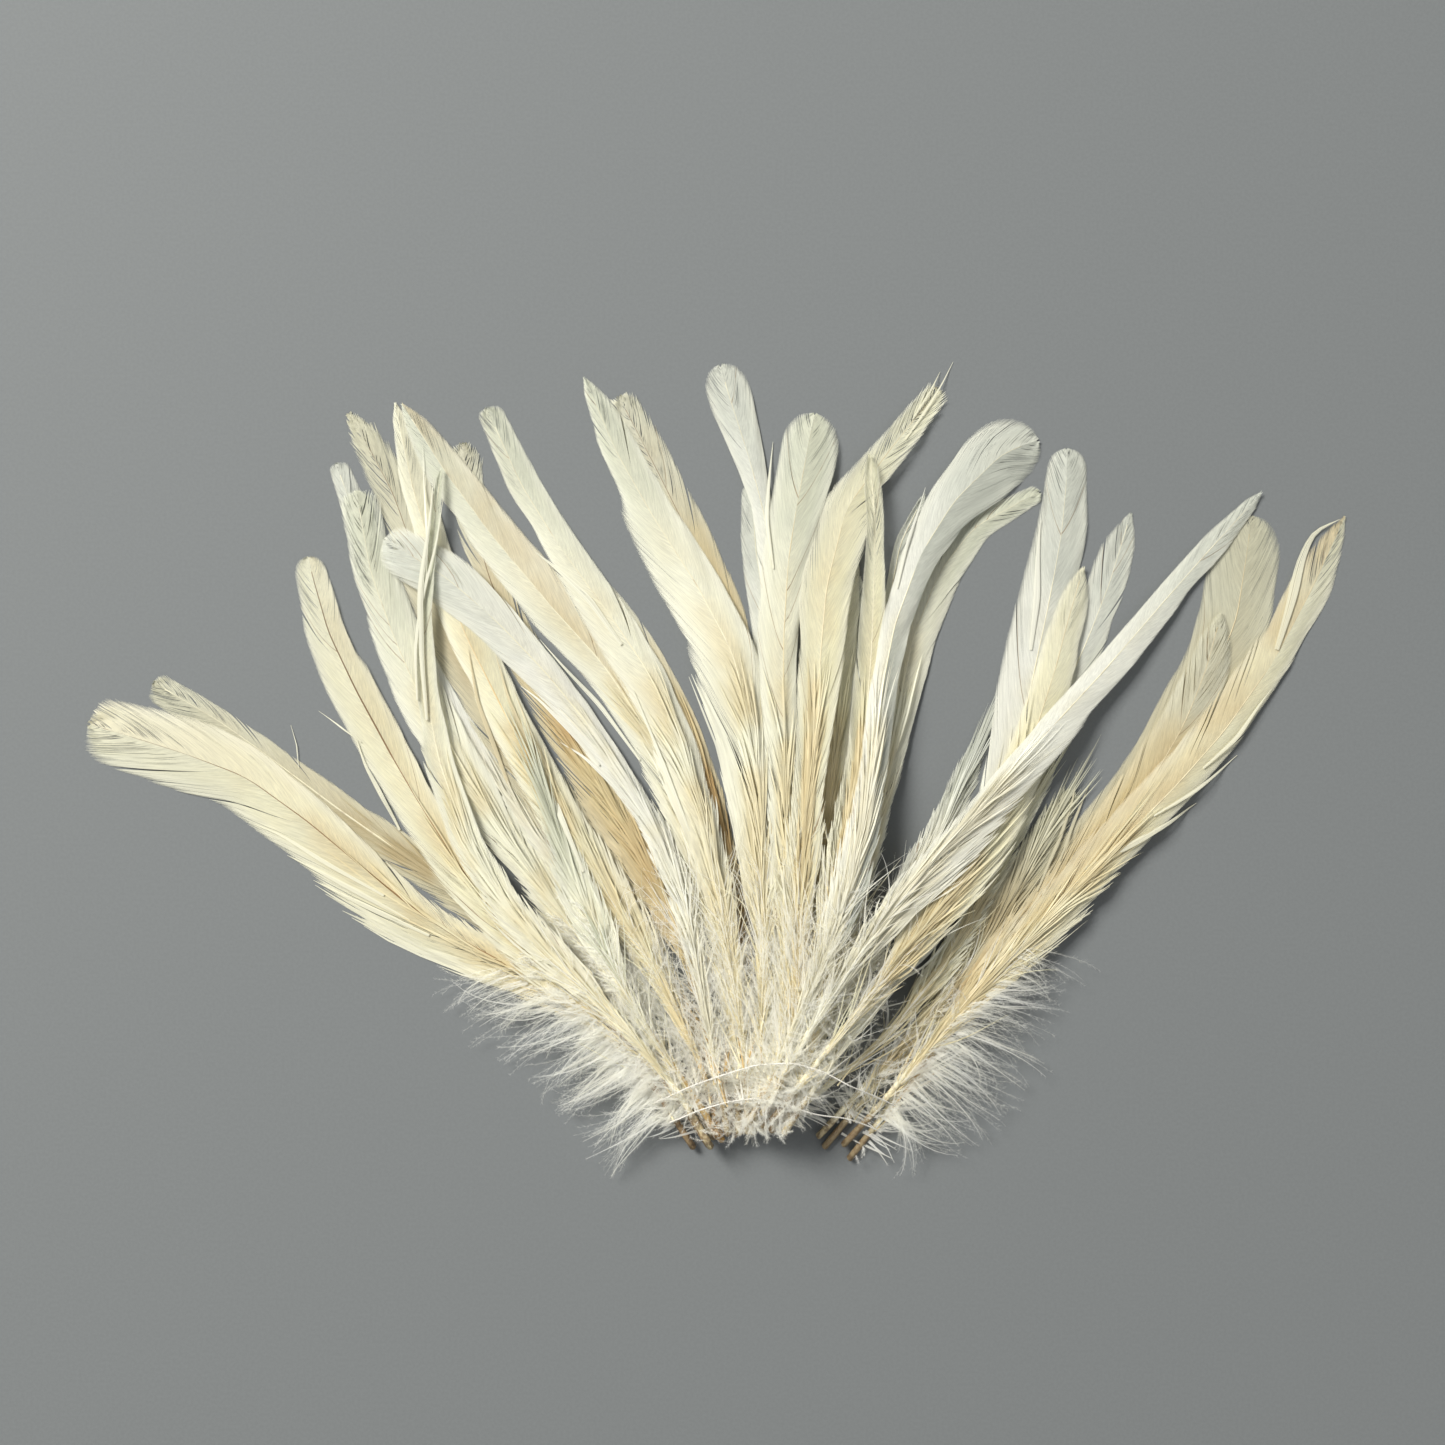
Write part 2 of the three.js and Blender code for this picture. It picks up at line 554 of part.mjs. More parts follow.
// The lowest heights at which sections clear the pile, bending no more than a feather sags
function settle(sections, pile) {
  const heights = sections.map(() => 0);
  for (let i = 0; i + 1 < sections.length; i++)
    for (const point of across(sections[i], sections[i + 1], UNDERSIDE)) {
      const least = pile.under(point.x, point.y) + CLEARANCE - point.z;
      heights[i] = Math.max(heights[i], least);
      heights[i + 1] = Math.max(heights[i + 1], least);
    }
  for (let pass = 0; pass < SETTLING_PASSES; pass++)
    for (let i = 1; i + 1 < sections.length; i++) {
      const before = sections[i].along - sections[i - 1].along;
      const after = sections[i + 1].along - sections[i].along;
      const straight = (heights[i - 1] * after + heights[i + 1] * before) / (before + after);
      heights[i] = Math.max(heights[i], straight - (FEATHER_SAG * before * after) / 2);
    }
  return heights;
}

// Slides a quill sideways to the lowest place on the pile near where the photograph shows it
function seat(points, pile) {
  const sideways = points[1].clone().sub(points[0]).normalize().cross(UP);
  const slid = (shift) =>
    points.map((point, i) => point.clone().addScaledVector(sideways, shift * (SLIDE_SHARES[i] ?? 0)));
  let best = { height: Infinity };
  for (let step = 0; step <= SLIDE_STEPS; step++)
    for (const shift of [step * SLIDE_STEP, -step * SLIDE_STEP]) {
      const route = new Route(slid(shift), points.map(() => new THREE.Vector3()));
      const quill = quillSections(route);
      const height = Math.max(...settle(quill, pile));
      if (height < best.height - WORTHWHILE_DROP) best = { height, shift };
    }
  return slid(best.shift);
}

// A closed skin over rings of points, with flat ends
function loft(rings) {
  const sides = rings[0].length;
  const corners = rings.flat().flatMap((p) => [p.x, p.y, p.z]);
  const faces = [];
  for (let i = 0; i + 1 < rings.length; i++)
    for (let k = 0; k < sides; k++) {
      const next = (k + 1) % sides;
      const [a, b, c, d] = [i * sides + k, i * sides + next, (i + 1) * sides + next, (i + 1) * sides + k];
      faces.push(a, b, c, a, c, d);
    }
  for (let k = 1; k + 1 < sides; k++) {
    const end = (rings.length - 1) * sides;
    faces.push(0, k + 1, k, end, end + k, end + k + 1);
  }
  return solid(corners, faces);
}

// A closed skin over rings of points whose last ring joins the first
function loop(rings) {
  const sides = rings[0].length;
  const corners = rings.flat().flatMap((p) => [p.x, p.y, p.z]);
  const faces = [];
  for (let i = 0; i < rings.length; i++)
    for (let k = 0; k < sides; k++) {
      const next = (k + 1) % sides;
      const following = ((i + 1) % rings.length) * sides;
      const [a, b, c, d] = [i * sides + k, i * sides + next, following + next, following + k];
      faces.push(a, b, c, a, c, d);
    }
  return solid(corners, faces);
}

// A mesh's geometry from its corners and its triangles
function solid(corners, faces) {
  const geometry = new THREE.BufferGeometry();
  geometry.setAttribute("position", new THREE.Float32BufferAttribute(corners, 3));
  geometry.setIndex(faces);
  geometry.computeVertexNormals();
  return geometry;
}

// One feather, laid on the pile, which it then raises
function feather({ name, finish, tip, down, rachis }, order, pile) {
  const widths = rachis.map(([, , left, right]) => new THREE.Vector3(left, right, 0));
  const route = new Route(seat(rachis.map(plan), pile), widths);
  const seed = order * SEED_STEP;
  const sections = [
    ...quillSections(route),
    ...downSections(route, down, seed),
    ...vaneSections(route, tip, seed),
  ];
  const heights = settle(sections, pile);
  sections.forEach(({ ring }, i) => ring.forEach((point) => (point.z += heights[i])));
  for (let i = 0; i + 1 < sections.length; i++)
    for (const { x, y, z } of across(sections[i], sections[i + 1], TOP)) pile.raise(x, y, z);
  const mesh = new THREE.Mesh(loft(sections.map(({ ring }) => ring)), FINISHES[finish]);
  mesh.name = name;
  return mesh;
}

// The line that a row of stitching follows in plan
function threadLine({ route }) {
  return new Route(route.map(plan), route.map(() => new THREE.Vector3()));
}

// Keeps the lower run of a stitched row free, between the table and the quills
function reserveThread(row, pile) {
  const line = threadLine(row);
  for (let along = 0; along < line.length; along += SKIN_STEP) {
    const { point } = line.at(along);
    pile.raise(point.x, point.y, 2 * THREAD_RADIUS);
  }
}

// The places of a stitched row, evenly spaced, from just outside its first quill to its last
function threadPlaces(row, pile) {
  const line = threadLine(row);
  const covered = [];
  for (let along = 0; along < line.length; along += SKIN_STEP) {
    const { point } = line.at(along);
    if (pile.under(point.x, point.y) > 2 * THREAD_RADIUS) covered.push(along);
  }
  const first = covered[0] - THREAD_OVERHANG;
  const last = covered.at(-1) + THREAD_OVERHANG;
  return Array.from({ length: THREAD_STEPS + 1 }, (_, i) =>
    line.at(THREE.MathUtils.lerp(first, last, i / THREAD_STEPS)),
  );
}

// A stitched row: one closed run of thread, over the quills and back beneath them
function thread(row, pile) {
  const places = threadPlaces(row, pile);
  const tops = places.map(() => THREAD_RADIUS);
  for (let i = 0; i < THREAD_STEPS; i++)
    for (let share = 0; share <= 1; share += THREAD_CHECK) {
      const { x, y } = places[i].point.clone().lerp(places[i + 1].point, share);
      const least = pile.under(x, y) + CLEARANCE + THREAD_RADIUS;
      tops[i] = Math.max(tops[i], least);
      tops[i + 1] = Math.max(tops[i + 1], least);
    }
  for (let pass = 0; pass < SETTLING_PASSES; pass++)
    for (let i = 1; i < THREAD_STEPS; i++)
      tops[i] = Math.max(tops[i], (tops[i - 1] + tops[i + 1]) / 2);
  const over = places.map(({ point, left }, i) => ({ left, centre: point.clone().setZ(tops[i]) }));
  const beneath = places.map(({ point, left }) => ({ left, centre: point.clone().setZ(THREAD_RADIUS) }));
  const stops = [...over, ...beneath.reverse()];
  const rings = stops.map(({ centre, left }, i) => {
    const before = stops.at(i - 1).centre;
    const after = stops[(i + 1) % stops.length].centre;
    const arriving = centre.clone().sub(before).normalize();
    const leaving = after.clone().sub(centre).normalize();
    const outward = arriving.add(leaving).normalize().cross(left);
    return Array.from({ length: THREAD_SIDES }, (_, k) => {
      const turn = (2 * Math.PI * k) / THREAD_SIDES + Math.PI / 2;
      return centre
        .clone()
        .addScaledVector(outward, THREAD_RADIUS * Math.sin(turn))
        .addScaledVector(left, THREAD_RADIUS * Math.cos(turn));
    });
  });
  const mesh = new THREE.Mesh(loop(rings), FINISHES.thread);
  mesh.name = row.name;
  return mesh;
}

// The origin is on the table, under the middle of the bunch
function centre(group) {
  const middle = new THREE.Box3().setFromObject(group).getCenter(new THREE.Vector3());
  group.position.set(-middle.x, -middle.y, 0);
}

const bunch = new THREE.Group();
const pile = new PileMap(PILE_HALF_WIDTH, PILE_HALF_DEPTH, PILE_CELL);
THREAD_ROWS.forEach((row) => reserveThread(row, pile));
FEATHERS.forEach((one, order) => bunch.add(feather(one, order, pile)));
THREAD_ROWS.forEach((row) => bunch.add(thread(row, pile)));
centre(bunch);

export default bunch;
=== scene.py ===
"""A strung bunch of rooster tail feathers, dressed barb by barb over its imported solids.

Each feather is drawn again from its own solid: its shaft is followed along the solid's ridge, and
quill, barbs and down are laid over it, the lowest feather in the pile first. Metres throughout.
"""

from __future__ import annotations

import logging
import math
from dataclasses import dataclass, field
from enum import Enum

import bpy
import numpy as np
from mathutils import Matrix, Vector
from mathutils.bvhtree import BVHTree


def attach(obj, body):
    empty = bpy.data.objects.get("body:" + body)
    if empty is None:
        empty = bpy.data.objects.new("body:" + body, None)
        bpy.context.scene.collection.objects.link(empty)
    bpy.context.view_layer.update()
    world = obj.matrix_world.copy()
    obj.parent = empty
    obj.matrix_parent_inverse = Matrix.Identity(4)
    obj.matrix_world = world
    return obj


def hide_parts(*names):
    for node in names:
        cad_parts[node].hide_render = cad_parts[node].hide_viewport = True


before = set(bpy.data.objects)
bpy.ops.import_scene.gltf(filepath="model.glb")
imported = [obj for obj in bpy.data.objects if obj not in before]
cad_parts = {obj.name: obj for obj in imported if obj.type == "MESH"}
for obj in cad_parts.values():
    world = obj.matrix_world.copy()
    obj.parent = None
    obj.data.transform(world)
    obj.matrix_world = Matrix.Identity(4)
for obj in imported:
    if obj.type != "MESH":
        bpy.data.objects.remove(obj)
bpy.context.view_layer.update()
MM = 0.001
LOG = logging.getLogger("feathers")

# The photograph's scale, from its longest feather: millimetres over pixels
MM_PER_PIXEL = 280 / 763

# The photograph's width and height, and the pixel over the row frame's origin
PHOTO_PIXELS = 1445
ORIGIN_PIXEL = np.array([714.62, 759.16])

# The quill ends gather round this place, so a solid's nearest corner to it is its quill's end
GATHER_PIXEL = (760.0, 1190.0)

# Along the shaft from the cut end: where the down begins and ends, and where the vane begins and is firm
DOWN_START = 16 * MM
DOWN_END = 98 * MM
VANE_START = 62 * MM
FIRM_VANE = 135 * MM

# No vane reaches further out than this, and a shaft thins from one radius to the other
WIDEST_VANE = 45 * MM
QUILL_RADIUS = 1.3 * MM
SHAFT_TIP_RADIUS = 0.13 * MM

# The usual length of the down, in millimetres, and how many barbs of the short down lie in a lock
USUAL_DOWN = 11.0
LOCK_SIZE = 5

# The left and the right of a feather, seen from its quill, and the way up
SIDES = (1, -1)
UP = (0.0, 0.0, 1.0)

Colour = tuple[float, float, float]


def from_pixel(x: float, y: float) -> np.ndarray:
    """Gives the plan place, in metres, of a pixel of the photograph.

    Args:
        x: The pixel's column.
        y: The pixel's row.

    Returns:
        The place's X and Y in the row frame.
    """
    return np.array([x - ORIGIN_PIXEL[0], ORIGIN_PIXEL[1] - y]) * MM_PER_PIXEL * MM


def smoothed(values: np.ndarray, reach: int) -> np.ndarray:
    """Averages a row of values over a moving window.

    Args:
        values: The values, evenly spaced.
        reach: How many neighbours on each side count.

    Returns:
        As many values, with the ends kept from shrinking.
    """
    if reach < 1:
        return values
    kernel = np.hanning(2 * reach + 3)[1:-1]
    padded = np.concatenate([
        2 * values[0] - values[reach:0:-1],
        values,
        2 * values[-1] - values[-2 : -reach - 2 : -1],
    ])
    return np.convolve(padded, kernel / kernel.sum(), mode="valid")


def widest(values: np.ndarray, reach: int) -> np.ndarray:
    """Gives the largest of each value's neighbours, so that notches are passed over."""
    padded = np.pad(values, reach, mode="edge")
    return np.lib.stride_tricks.sliding_window_view(padded, 2 * reach + 1).max(axis=1)


def ramp(values: np.ndarray, low: float, high: float) -> np.ndarray:
    """Rises smoothly from 0 at low to 1 at high."""
    share = np.clip((values - low) / (high - low), 0.0, 1.0)
    return share * share * (3 - 2 * share)


def unit(vectors: np.ndarray) -> np.ndarray:
    """Gives vectors, which lie along the last axis, a length of one."""
    return vectors / (np.linalg.norm(vectors, axis=-1, keepdims=True) + 1e-12)


def left_of(plan: np.ndarray) -> np.ndarray:
    """Gives the unit step to the left at each point of a line on the table."""
    ahead = unit(np.gradient(plan, axis=0))
    return np.stack([-ahead[:, 1], ahead[:, 0]], axis=1)


def bearings(lines: np.ndarray) -> tuple[np.ndarray, np.ndarray, np.ndarray]:
    """Gives three directions at each point of some lines.

    Args:
        lines: The lines, whose last axis is X, Y and Z and whose last but one runs along them.

    Returns:
        The way ahead, the level way to its right, and the way up from both.
    """
    ahead = unit(np.gradient(lines, axis=-2))
    right = unit(np.cross(ahead, UP))
    return ahead, right, np.cross(right, ahead)


def to_edge(flat: np.ndarray, upward: np.ndarray, roll: np.ndarray, half: np.ndarray) -> np.ndarray:
    """Gives the step from a ribbon's middle to its edge, where the ribbon is rolled about its line.

    Args:
        flat: The level way to that edge.
        upward: The way up from it.
        roll: Each ribbon's turn.
        half: The half width at each point.

    Returns:
        The steps.
    """
    roll = roll[:, None, None]
    return (flat * np.cos(roll) + upward * np.sin(roll)) * half[..., None]


def travelled(points: np.ndarray) -> np.ndarray:
    """Gives the distance along a line at each of its points."""
    return np.concatenate([[0], np.cumsum(np.linalg.norm(np.diff(points, axis=0), axis=1))])


def sampled(points: np.ndarray, lengths: np.ndarray, along: np.ndarray) -> np.ndarray:
    """Reads a line, given with the distance at each of its points, at other distances."""
    return np.stack([np.interp(along, lengths, column) for column in points.T], axis=1)


def solid_tree(node: str) -> BVHTree:
    """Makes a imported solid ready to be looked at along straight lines."""
    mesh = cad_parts[node].data
    return BVHTree.FromPolygons([v.co for v in mesh.vertices], [p.vertices for p in mesh.polygons])


def surface(tree: BVHTree, x: float, y: float, start: float) -> float:
    """Finds a solid's upper face from above, or its lower face from beneath.

    Args:
        tree: The solid.
        x: The place's X.
        y: The place's Y.
        start: The height to look from, which is negative beneath the floor.

    Returns:
        The face's height, or not a number where the solid isn't.
    """
    hit = tree.ray_cast(Vector((x, y, start)), Vector((0, 0, -math.copysign(1.0, start))))[0]
    return hit.z if hit else math.nan


class Tone(Enum):
    """The main colour of a feather, with the record's slot that it takes its finish from."""

    WHITE = "feather_white"
    IVORY = "feather_ivory"
    CREAM = "feather_cream"
    TAN = "feather_tan"
    KHAKI = "feather_khaki"


@dataclass(frozen=True)
class TipShape:
    """How a tip narrows, and how far its barbs turn forward there.

    length is in half widths of the vane. The larger belly and the smaller fullness are, the blunter
    the tip.
    """

    length: float
    belly: float
    fullness: float
    turn: float


class Tip(Enum):
    """The shape of a feather's tip."""

    ROUND = TipShape(1.25, 2.0, 0.5, -1.3)
    BLUNT = TipShape(0.8, 2.6, 0.55, -0.6)
    POINT = TipShape(2.4, 1.0, 0.8, 1.1)

    def width(self, share: np.ndarray) -> np.ndarray:
        """Gives the share of the width that is left at a share of the tip's length."""
        return np.clip(1 - share**self.value.belly, 0, 1) ** self.value.fullness


class ShaftTone(Enum):
    """The colour of a feather's shaft above its bare quill."""

    PALE = "pale"
    GOLD = "gold"
    AMBER = "amber"
    BROWN = "brown"


class Slot(Enum):
    """The materials of a mesh, in the order of its material slots. A row of thread has one alone."""

    VANE = 0
    SHAFT = 1
    DOWN = 2
    THREAD = 0


@dataclass(frozen=True)
class Sliver:
    """A lock of barbs that has come loose and lies by itself.

    The route is in pixels of the photograph, tip first. Width and rise are in millimetres.
    """

    route: tuple[tuple[int, int], ...]
    width: float
    rise: float = 0.25


@dataclass(frozen=True)
class Look:
    """How one feather differs from the others.

    Sizes are in millimetres. cup is how far the vane's edges rise above the shaft, and thin is the
    share of the length from which the vane thins, to the share sparse, so that what lies beneath
    shows through it. frayed is how uneven its tip is. The vane is parted in splits and one more
    locks, opening is the share of them that stand apart, and brown the share of brown barbs. tint
    makes the left and the right vane tanner, or greyer where it is negative: partly the vane's own
    colour, partly painted shade that darkens one side.

    down is the length of the down, mantle and hem are how many barbs of short down lie forward and
    backward on each side, and down_sides scales the down of the left and of the right. cover is how
    much of the shaft's foot long barbs hide.
    """

    tone: Tone
    tip: Tip = Tip.ROUND
    shaft: ShaftTone = ShaftTone.PALE
    cup: float = -0.8
    thin: float = 0.8
    sparse: float = 0.88
    frayed: float = 0.2
    splits: int = 9
    opening: float = 0.3
    brown: float = 0.004
    # Left and right vane tone: partly the vane's own colour, partly painted shade on one side.
    side_tone_and_shade: tuple[float, float] = (0.0, 0.0)
    down: float = USUAL_DOWN
    mantle: int = 36
    hem: int = 9
    down_sides: tuple[float, float] = (1.0, 1.0)
    cover: float = 1.0
    slivers: tuple[Sliver, ...] = ()


@dataclass
class Sketch:
    """A material's node tree, with short calls for the nodes that the finishes share."""

    name: str
    material: bpy.types.Material = field(init=False)
    tree: bpy.types.NodeTree = field(init=False)

    def __post_init__(self) -> None:
        """Makes the empty node tree."""
        self.material = bpy.data.materials.new(self.name)
        self.material.use_nodes = True
        self.tree = self.material.node_tree
        self.tree.nodes.clear()

    def node(self, kind: str, **settings: object) -> bpy.types.Node:
        """Adds a node.

        Args:
            kind: The node's type, such as ShaderNodeMath.
            settings: Its own properties.

        Returns:
            The node.
        """
        made = self.tree.nodes.new(kind)
        for key, value in settings.items():
            setattr(made, key, value)
        return made

    def feed(self, socket: bpy.types.NodeSocket, value: object) -> None:
        """Links a socket to another, or sets its value.

        Args:
            socket: The socket.
            value: The other socket, or the value.
        """
        if isinstance(value, bpy.types.NodeSocket):
            self.tree.links.new(value, socket)
        else:
            socket.default_value = value

    def attribute(self, name: str) -> bpy.types.NodeSocket:
        """Reads one of the mesh's own values."""
        return self.node("ShaderNodeAttribute", attribute_name=name).outputs["Fac"]

    def math(self, operation: str, *values: object) -> bpy.types.NodeSocket:
        """Works out a number.

        Args:
            operation: The Math node's operation.
            values: Its inputs, each a number or a socket.

        Returns:
            The result's socket.
        """
        made = self.node("ShaderNodeMath", operation=operation)
        for socket, value in zip(made.inputs, values):
            self.feed(socket, value)
        return made.outputs[0]

    def span(
        self, value: object, low: float, high: float, start: float = 0.0, end: float = 1.0
    ) -> bpy.types.NodeSocket:
        """Carries a value smoothly from one range to another.

        Args:
            value: The socket that is read.
            low: Where the first range starts.
            high: Where it ends.
            start: The result at low.
            end: The result at high.

        Returns:
            The result's socket.
        """
        made = self.node("ShaderNodeMapRange", interpolation_type="SMOOTHSTEP")
        for socket, given in zip(made.inputs, (value, low, high, start, end)):
            self.feed(socket, given)
        return made.outputs[0]

    def mix(self, share: object, first: object, second: object, blend: str = "MIX") -> bpy.types.NodeSocket:
        """Mixes two colours.

        Args:
            share: How much of the second shows.
            first: The first colour.
            second: The second colour.
            blend: The way they are mixed.

        Returns:
            The mixed colour's socket.
        """
        made = self.node("ShaderNodeMix", data_type="RGBA", blend_type=blend)
        for key, value in (("Factor_Float", share), ("A_Color", first), ("B_Color", second)):
            socket = next(s for s in made.inputs if s.identifier == key)
            self.feed(socket, (*value, 1.0) if isinstance(value, tuple) else value)
        return next(s for s in made.outputs if s.identifier == "Result_Color")

    def noise(self, vector: object, scale: float, detail: float = 2.0) -> bpy.types.NodeSocket:
        """Gives cloudy values from 0 to 1.

        Args:
            vector: Where they are read.
            scale: How fine they are.
            detail: How many finer layers are added.

        Returns:
            The values' socket.
        """
        made = self.node("ShaderNodeTexNoise")
        self.feed(made.inputs["Vector"], vector)
        made.inputs["Scale"].default_value = scale
        made.inputs["Detail"].default_value = detail
        return made.outputs[0]

    def vector(self, x: object, y: object, z: object = 0.0) -> bpy.types.NodeSocket:
        """Joins three numbers in a vector.

        Args:
            x: The first, a number or a socket.
            y: The second.
            z: The third.

        Returns:
            The vector's socket.
        """
        made = self.node("ShaderNodeCombineXYZ")
        for socket, value in zip(made.inputs, (x, y, z)):
            self.feed(socket, value)
        return made.outputs[0]

    def places(self) -> bpy.types.NodeSocket:
        """Gives each point's place in the row frame."""
        return self.node("ShaderNodeNewGeometry").outputs["Position"]

    def bump(self, height: bpy.types.NodeSocket, distance: float, strength: float) -> bpy.types.NodeSocket:
        """Raises small relief.

        Args:
            height: The relief's socket.
            distance: Its depth in metres.
            strength: How much of it shows.

        Returns:
            The normal's socket.
        """
        made = self.node("ShaderNodeBump")
        made.inputs["Strength"].default_value = strength
        made.inputs["Distance"].default_value = distance
        self.feed(made.inputs["Height"], height)
        return made.outputs[0]

    def finish(
        self, colour: object, roughness: object, glow: float = 0.0, normal: object = None, sheen: float = 0.0
    ) -> bpy.types.Material:
        """Ends the tree in a surface that reflects light and lets some through.

        Args:
            colour: The surface's colour.
            roughness: Its roughness.
            glow: The share of light that passes through it.
            normal: Its relief.
            sheen: The weight of its soft sheen.

        Returns:
            The material.
        """
        surface = self.node("ShaderNodeBsdfPrincipled")
        self.feed(surface.inputs["Base Color"], colour)
        self.feed(surface.inputs["Roughness"], roughness)
        surface.inputs["Sheen Weight"].default_value = sheen
        surface.inputs["Sheen Roughness"].default_value = 0.4
        if normal is not None:
            self.feed(surface.inputs["Normal"], normal)
        shader = surface.outputs[0]
        if glow > 0:
            through = self.node("ShaderNodeBsdfTranslucent")
            self.feed(through.inputs["Color"], colour)
            both = self.node("ShaderNodeMixShader")
            both.inputs[0].default_value = glow
            self.feed(both.inputs[1], shader)
            self.feed(both.inputs[2], through.outputs[0])
            shader = both.outputs[0]
        self.feed(self.node("ShaderNodeOutputMaterial").inputs["Surface"], shader)
        return self.material


@dataclass(frozen=True)
class VaneFinish:
    """The silky finish of a feather's barbs, with colours along it and streaks across it, which are
    partly each barb's own tone and partly painted sheen.

    stain is the colour of its patches near the shaft in the lower vane, partly the vane's own tan and
    partly painted shade beside the shaft, and rim that of its edges, where edge is how much of it
    shows. tan, grey and brown are what a feather's own tint and its brown barbs turn to; the tint is
    partly the vane's own colour and partly painted shade on one side.
    """

    name: str
    root: Colour
    body: Colour
    tip: Colour
    # Tan near the shaft: partly the vane's own tan, partly painted shade beside the shaft.
    shaft_tan_and_shade: Colour
    edge: float = 0.5
    glow: float = 0.3
    rim: Colour = (0.88, 0.87, 0.76)
    tan: Colour = (0.66, 0.52, 0.28)
    grey: Colour = (0.55, 0.57, 0.5)
    brown: Colour = (0.3, 0.18, 0.07)

    def material(self) -> bpy.types.Material:
        """Builds the barbs' material.

        Returns:
            The material.
        """
        s = Sketch(self.name)
        along = s.attribute("along")
        across = s.attribute("across")
        barb = s.attribute("barb")
        clouds = s.noise(s.places(), 38.0, 3.0)
        wander = s.math("MULTIPLY_ADD", clouds, 0.24, s.math("SUBTRACT", along, 0.12))
        colour = s.mix(s.span(wander, 0.25, 0.5), self.root, self.body)
        colour = s.mix(s.span(wander, 0.68, 0.95), colour, self.tip)
        beside = s.math("ABSOLUTE", across)
        # Tan patches near the shaft, lower on the vane: painted shade beside the shaft, partly the vane's own
        # tan.
        near = s.span(beside, 0.05, 0.85, 1.0, 0.0)
        patches = s.span(s.noise(s.places(), 34.0, 2.0), 0.36, 0.6)
        low = s.span(along, 0.55, 0.85, 0.9, 0.1)
        colour = s.mix(s.math("MULTIPLY", s.math("MULTIPLY", near, patches), low), colour, self.shaft_tan_and_shade)
        colour = s.mix(s.span(beside, 0.5, 1.0, 0.0, self.edge), colour, self.rim)
        # Tanner or greyer vane by side: partly the vane's own colour, partly painted shade on one side.
        side_tone_and_shade = s.math("MULTIPLY", s.attribute("side_tone_and_shade"), s.span(clouds, 0.3, 0.6, 0.6, 1.1))
        colour = s.mix(s.span(side_tone_and_shade, 0.0, 1.0), colour, self.tan)
        colour = s.mix(s.span(side_tone_and_shade, 0.0, -1.0), colour, self.grey)
        colour = s.mix(s.span(barb, 1.0, 1.3, 0.0, 0.7), colour, self.brown)
        # Streaks from barb to barb, darker or a little lighter: partly each barb's own tone, partly painted
        # sheen.
        hairs = s.noise(s.vector(s.math("MULTIPLY", barb, 91.0), s.math("MULTIPLY", across, 1.6)), 3.1, 2.0)
        streak_tone_and_sheen = s.span(hairs, 0.25, 0.8, 0.8, 1.04)
        streak_tone_and_sheen_colour = s.node("ShaderNodeCombineColor")
        for socket in streak_tone_and_sheen_colour.inputs:
            s.feed(socket, streak_tone_and_sheen)
        colour = s.mix(1.0, colour, streak_tone_and_sheen_colour.outputs[0], "MULTIPLY")
        ribs = s.node("ShaderNodeTexWave", wave_type="BANDS", bands_direction="X")
        s.feed(ribs.inputs["Vector"], s.vector(s.math("MULTIPLY", across, 60.0), 0.0))
        ribs.inputs["Scale"].default_value = 1.0
        ribs.inputs["Distortion"].default_value = 2.0
        normal = s.bump(ribs.outputs["Fac"], 0.04 * MM, 0.35)
        return s.finish(colour, s.span(hairs, 0.2, 0.8, 0.42, 0.6), self.glow, normal, 0.25)


@dataclass(frozen=True)
class ShaftFinish:
    """The horny finish of a shaft, amber and half clear where the quill is bare."""

    name: str
    bare: Colour
    upper: Colour
    tip: Colour
    smudge: Colour = (0.3, 0.19, 0.1)
    fleck: Colour = (0.16, 0.1, 0.05)

    def material(self) -> bpy.types.Material:
        """Builds the shaft's material.

        Returns:
            The material.
        """
        s = Sketch(self.name)
        along = s.attribute("along")
        barb = s.attribute("barb")
        clouds = s.noise(s.vector(s.math("MULTIPLY", along, 34.0), s.math("MULTIPLY", barb, 40.0)), 1.7, 3.0)
        wander = s.math("MULTIPLY_ADD", clouds, 0.05, along)
        colour = s.mix(s.span(wander, 0.062, 0.1), self.bare, self.upper)
        colour = s.mix(s.span(along, 0.45, 0.95), colour, self.tip)
        colour = s.mix(s.span(clouds, 0.5, 0.8, 0.0, 0.6), colour, self.smudge)
        flecks = s.noise(s.places(), 620.0, 3.0)
        worn = s.math("MULTIPLY", s.span(flecks, 0.42, 0.62, 0.0, 0.75), s.span(along, 0.04, 0.075, 1.0, 0.0))
        colour = s.mix(worn, colour, self.fleck)
        normal = s.bump(s.math("ADD", clouds, flecks), 0.1 * MM, 0.3)
        return s.finish(colour, s.span(clouds, 0.3, 0.7, 0.28, 0.45), 0.12, normal)


@dataclass(frozen=True)
class DownFinish:
    """The cottony finish of the down."""

    name: str
    colour: Colour
    shade: Colour

    def material(self) -> bpy.types.Material:
        """Builds the down's material.

        Returns:
            The material.
        """
        s = Sketch(self.name)
        clouds = s.noise(s.places(), 70.0, 3.0)
        barb = s.attribute("barb")
        mixed = s.math("MULTIPLY_ADD", barb, 0.35, s.math("MULTIPLY", clouds, 0.65))
        colour = s.mix(s.span(mixed, 0.25, 0.8), self.colour, self.shade)
        return s.finish(colour, s.span(clouds, 0.3, 0.7, 0.75, 0.9), 0.68, None, 0.4)


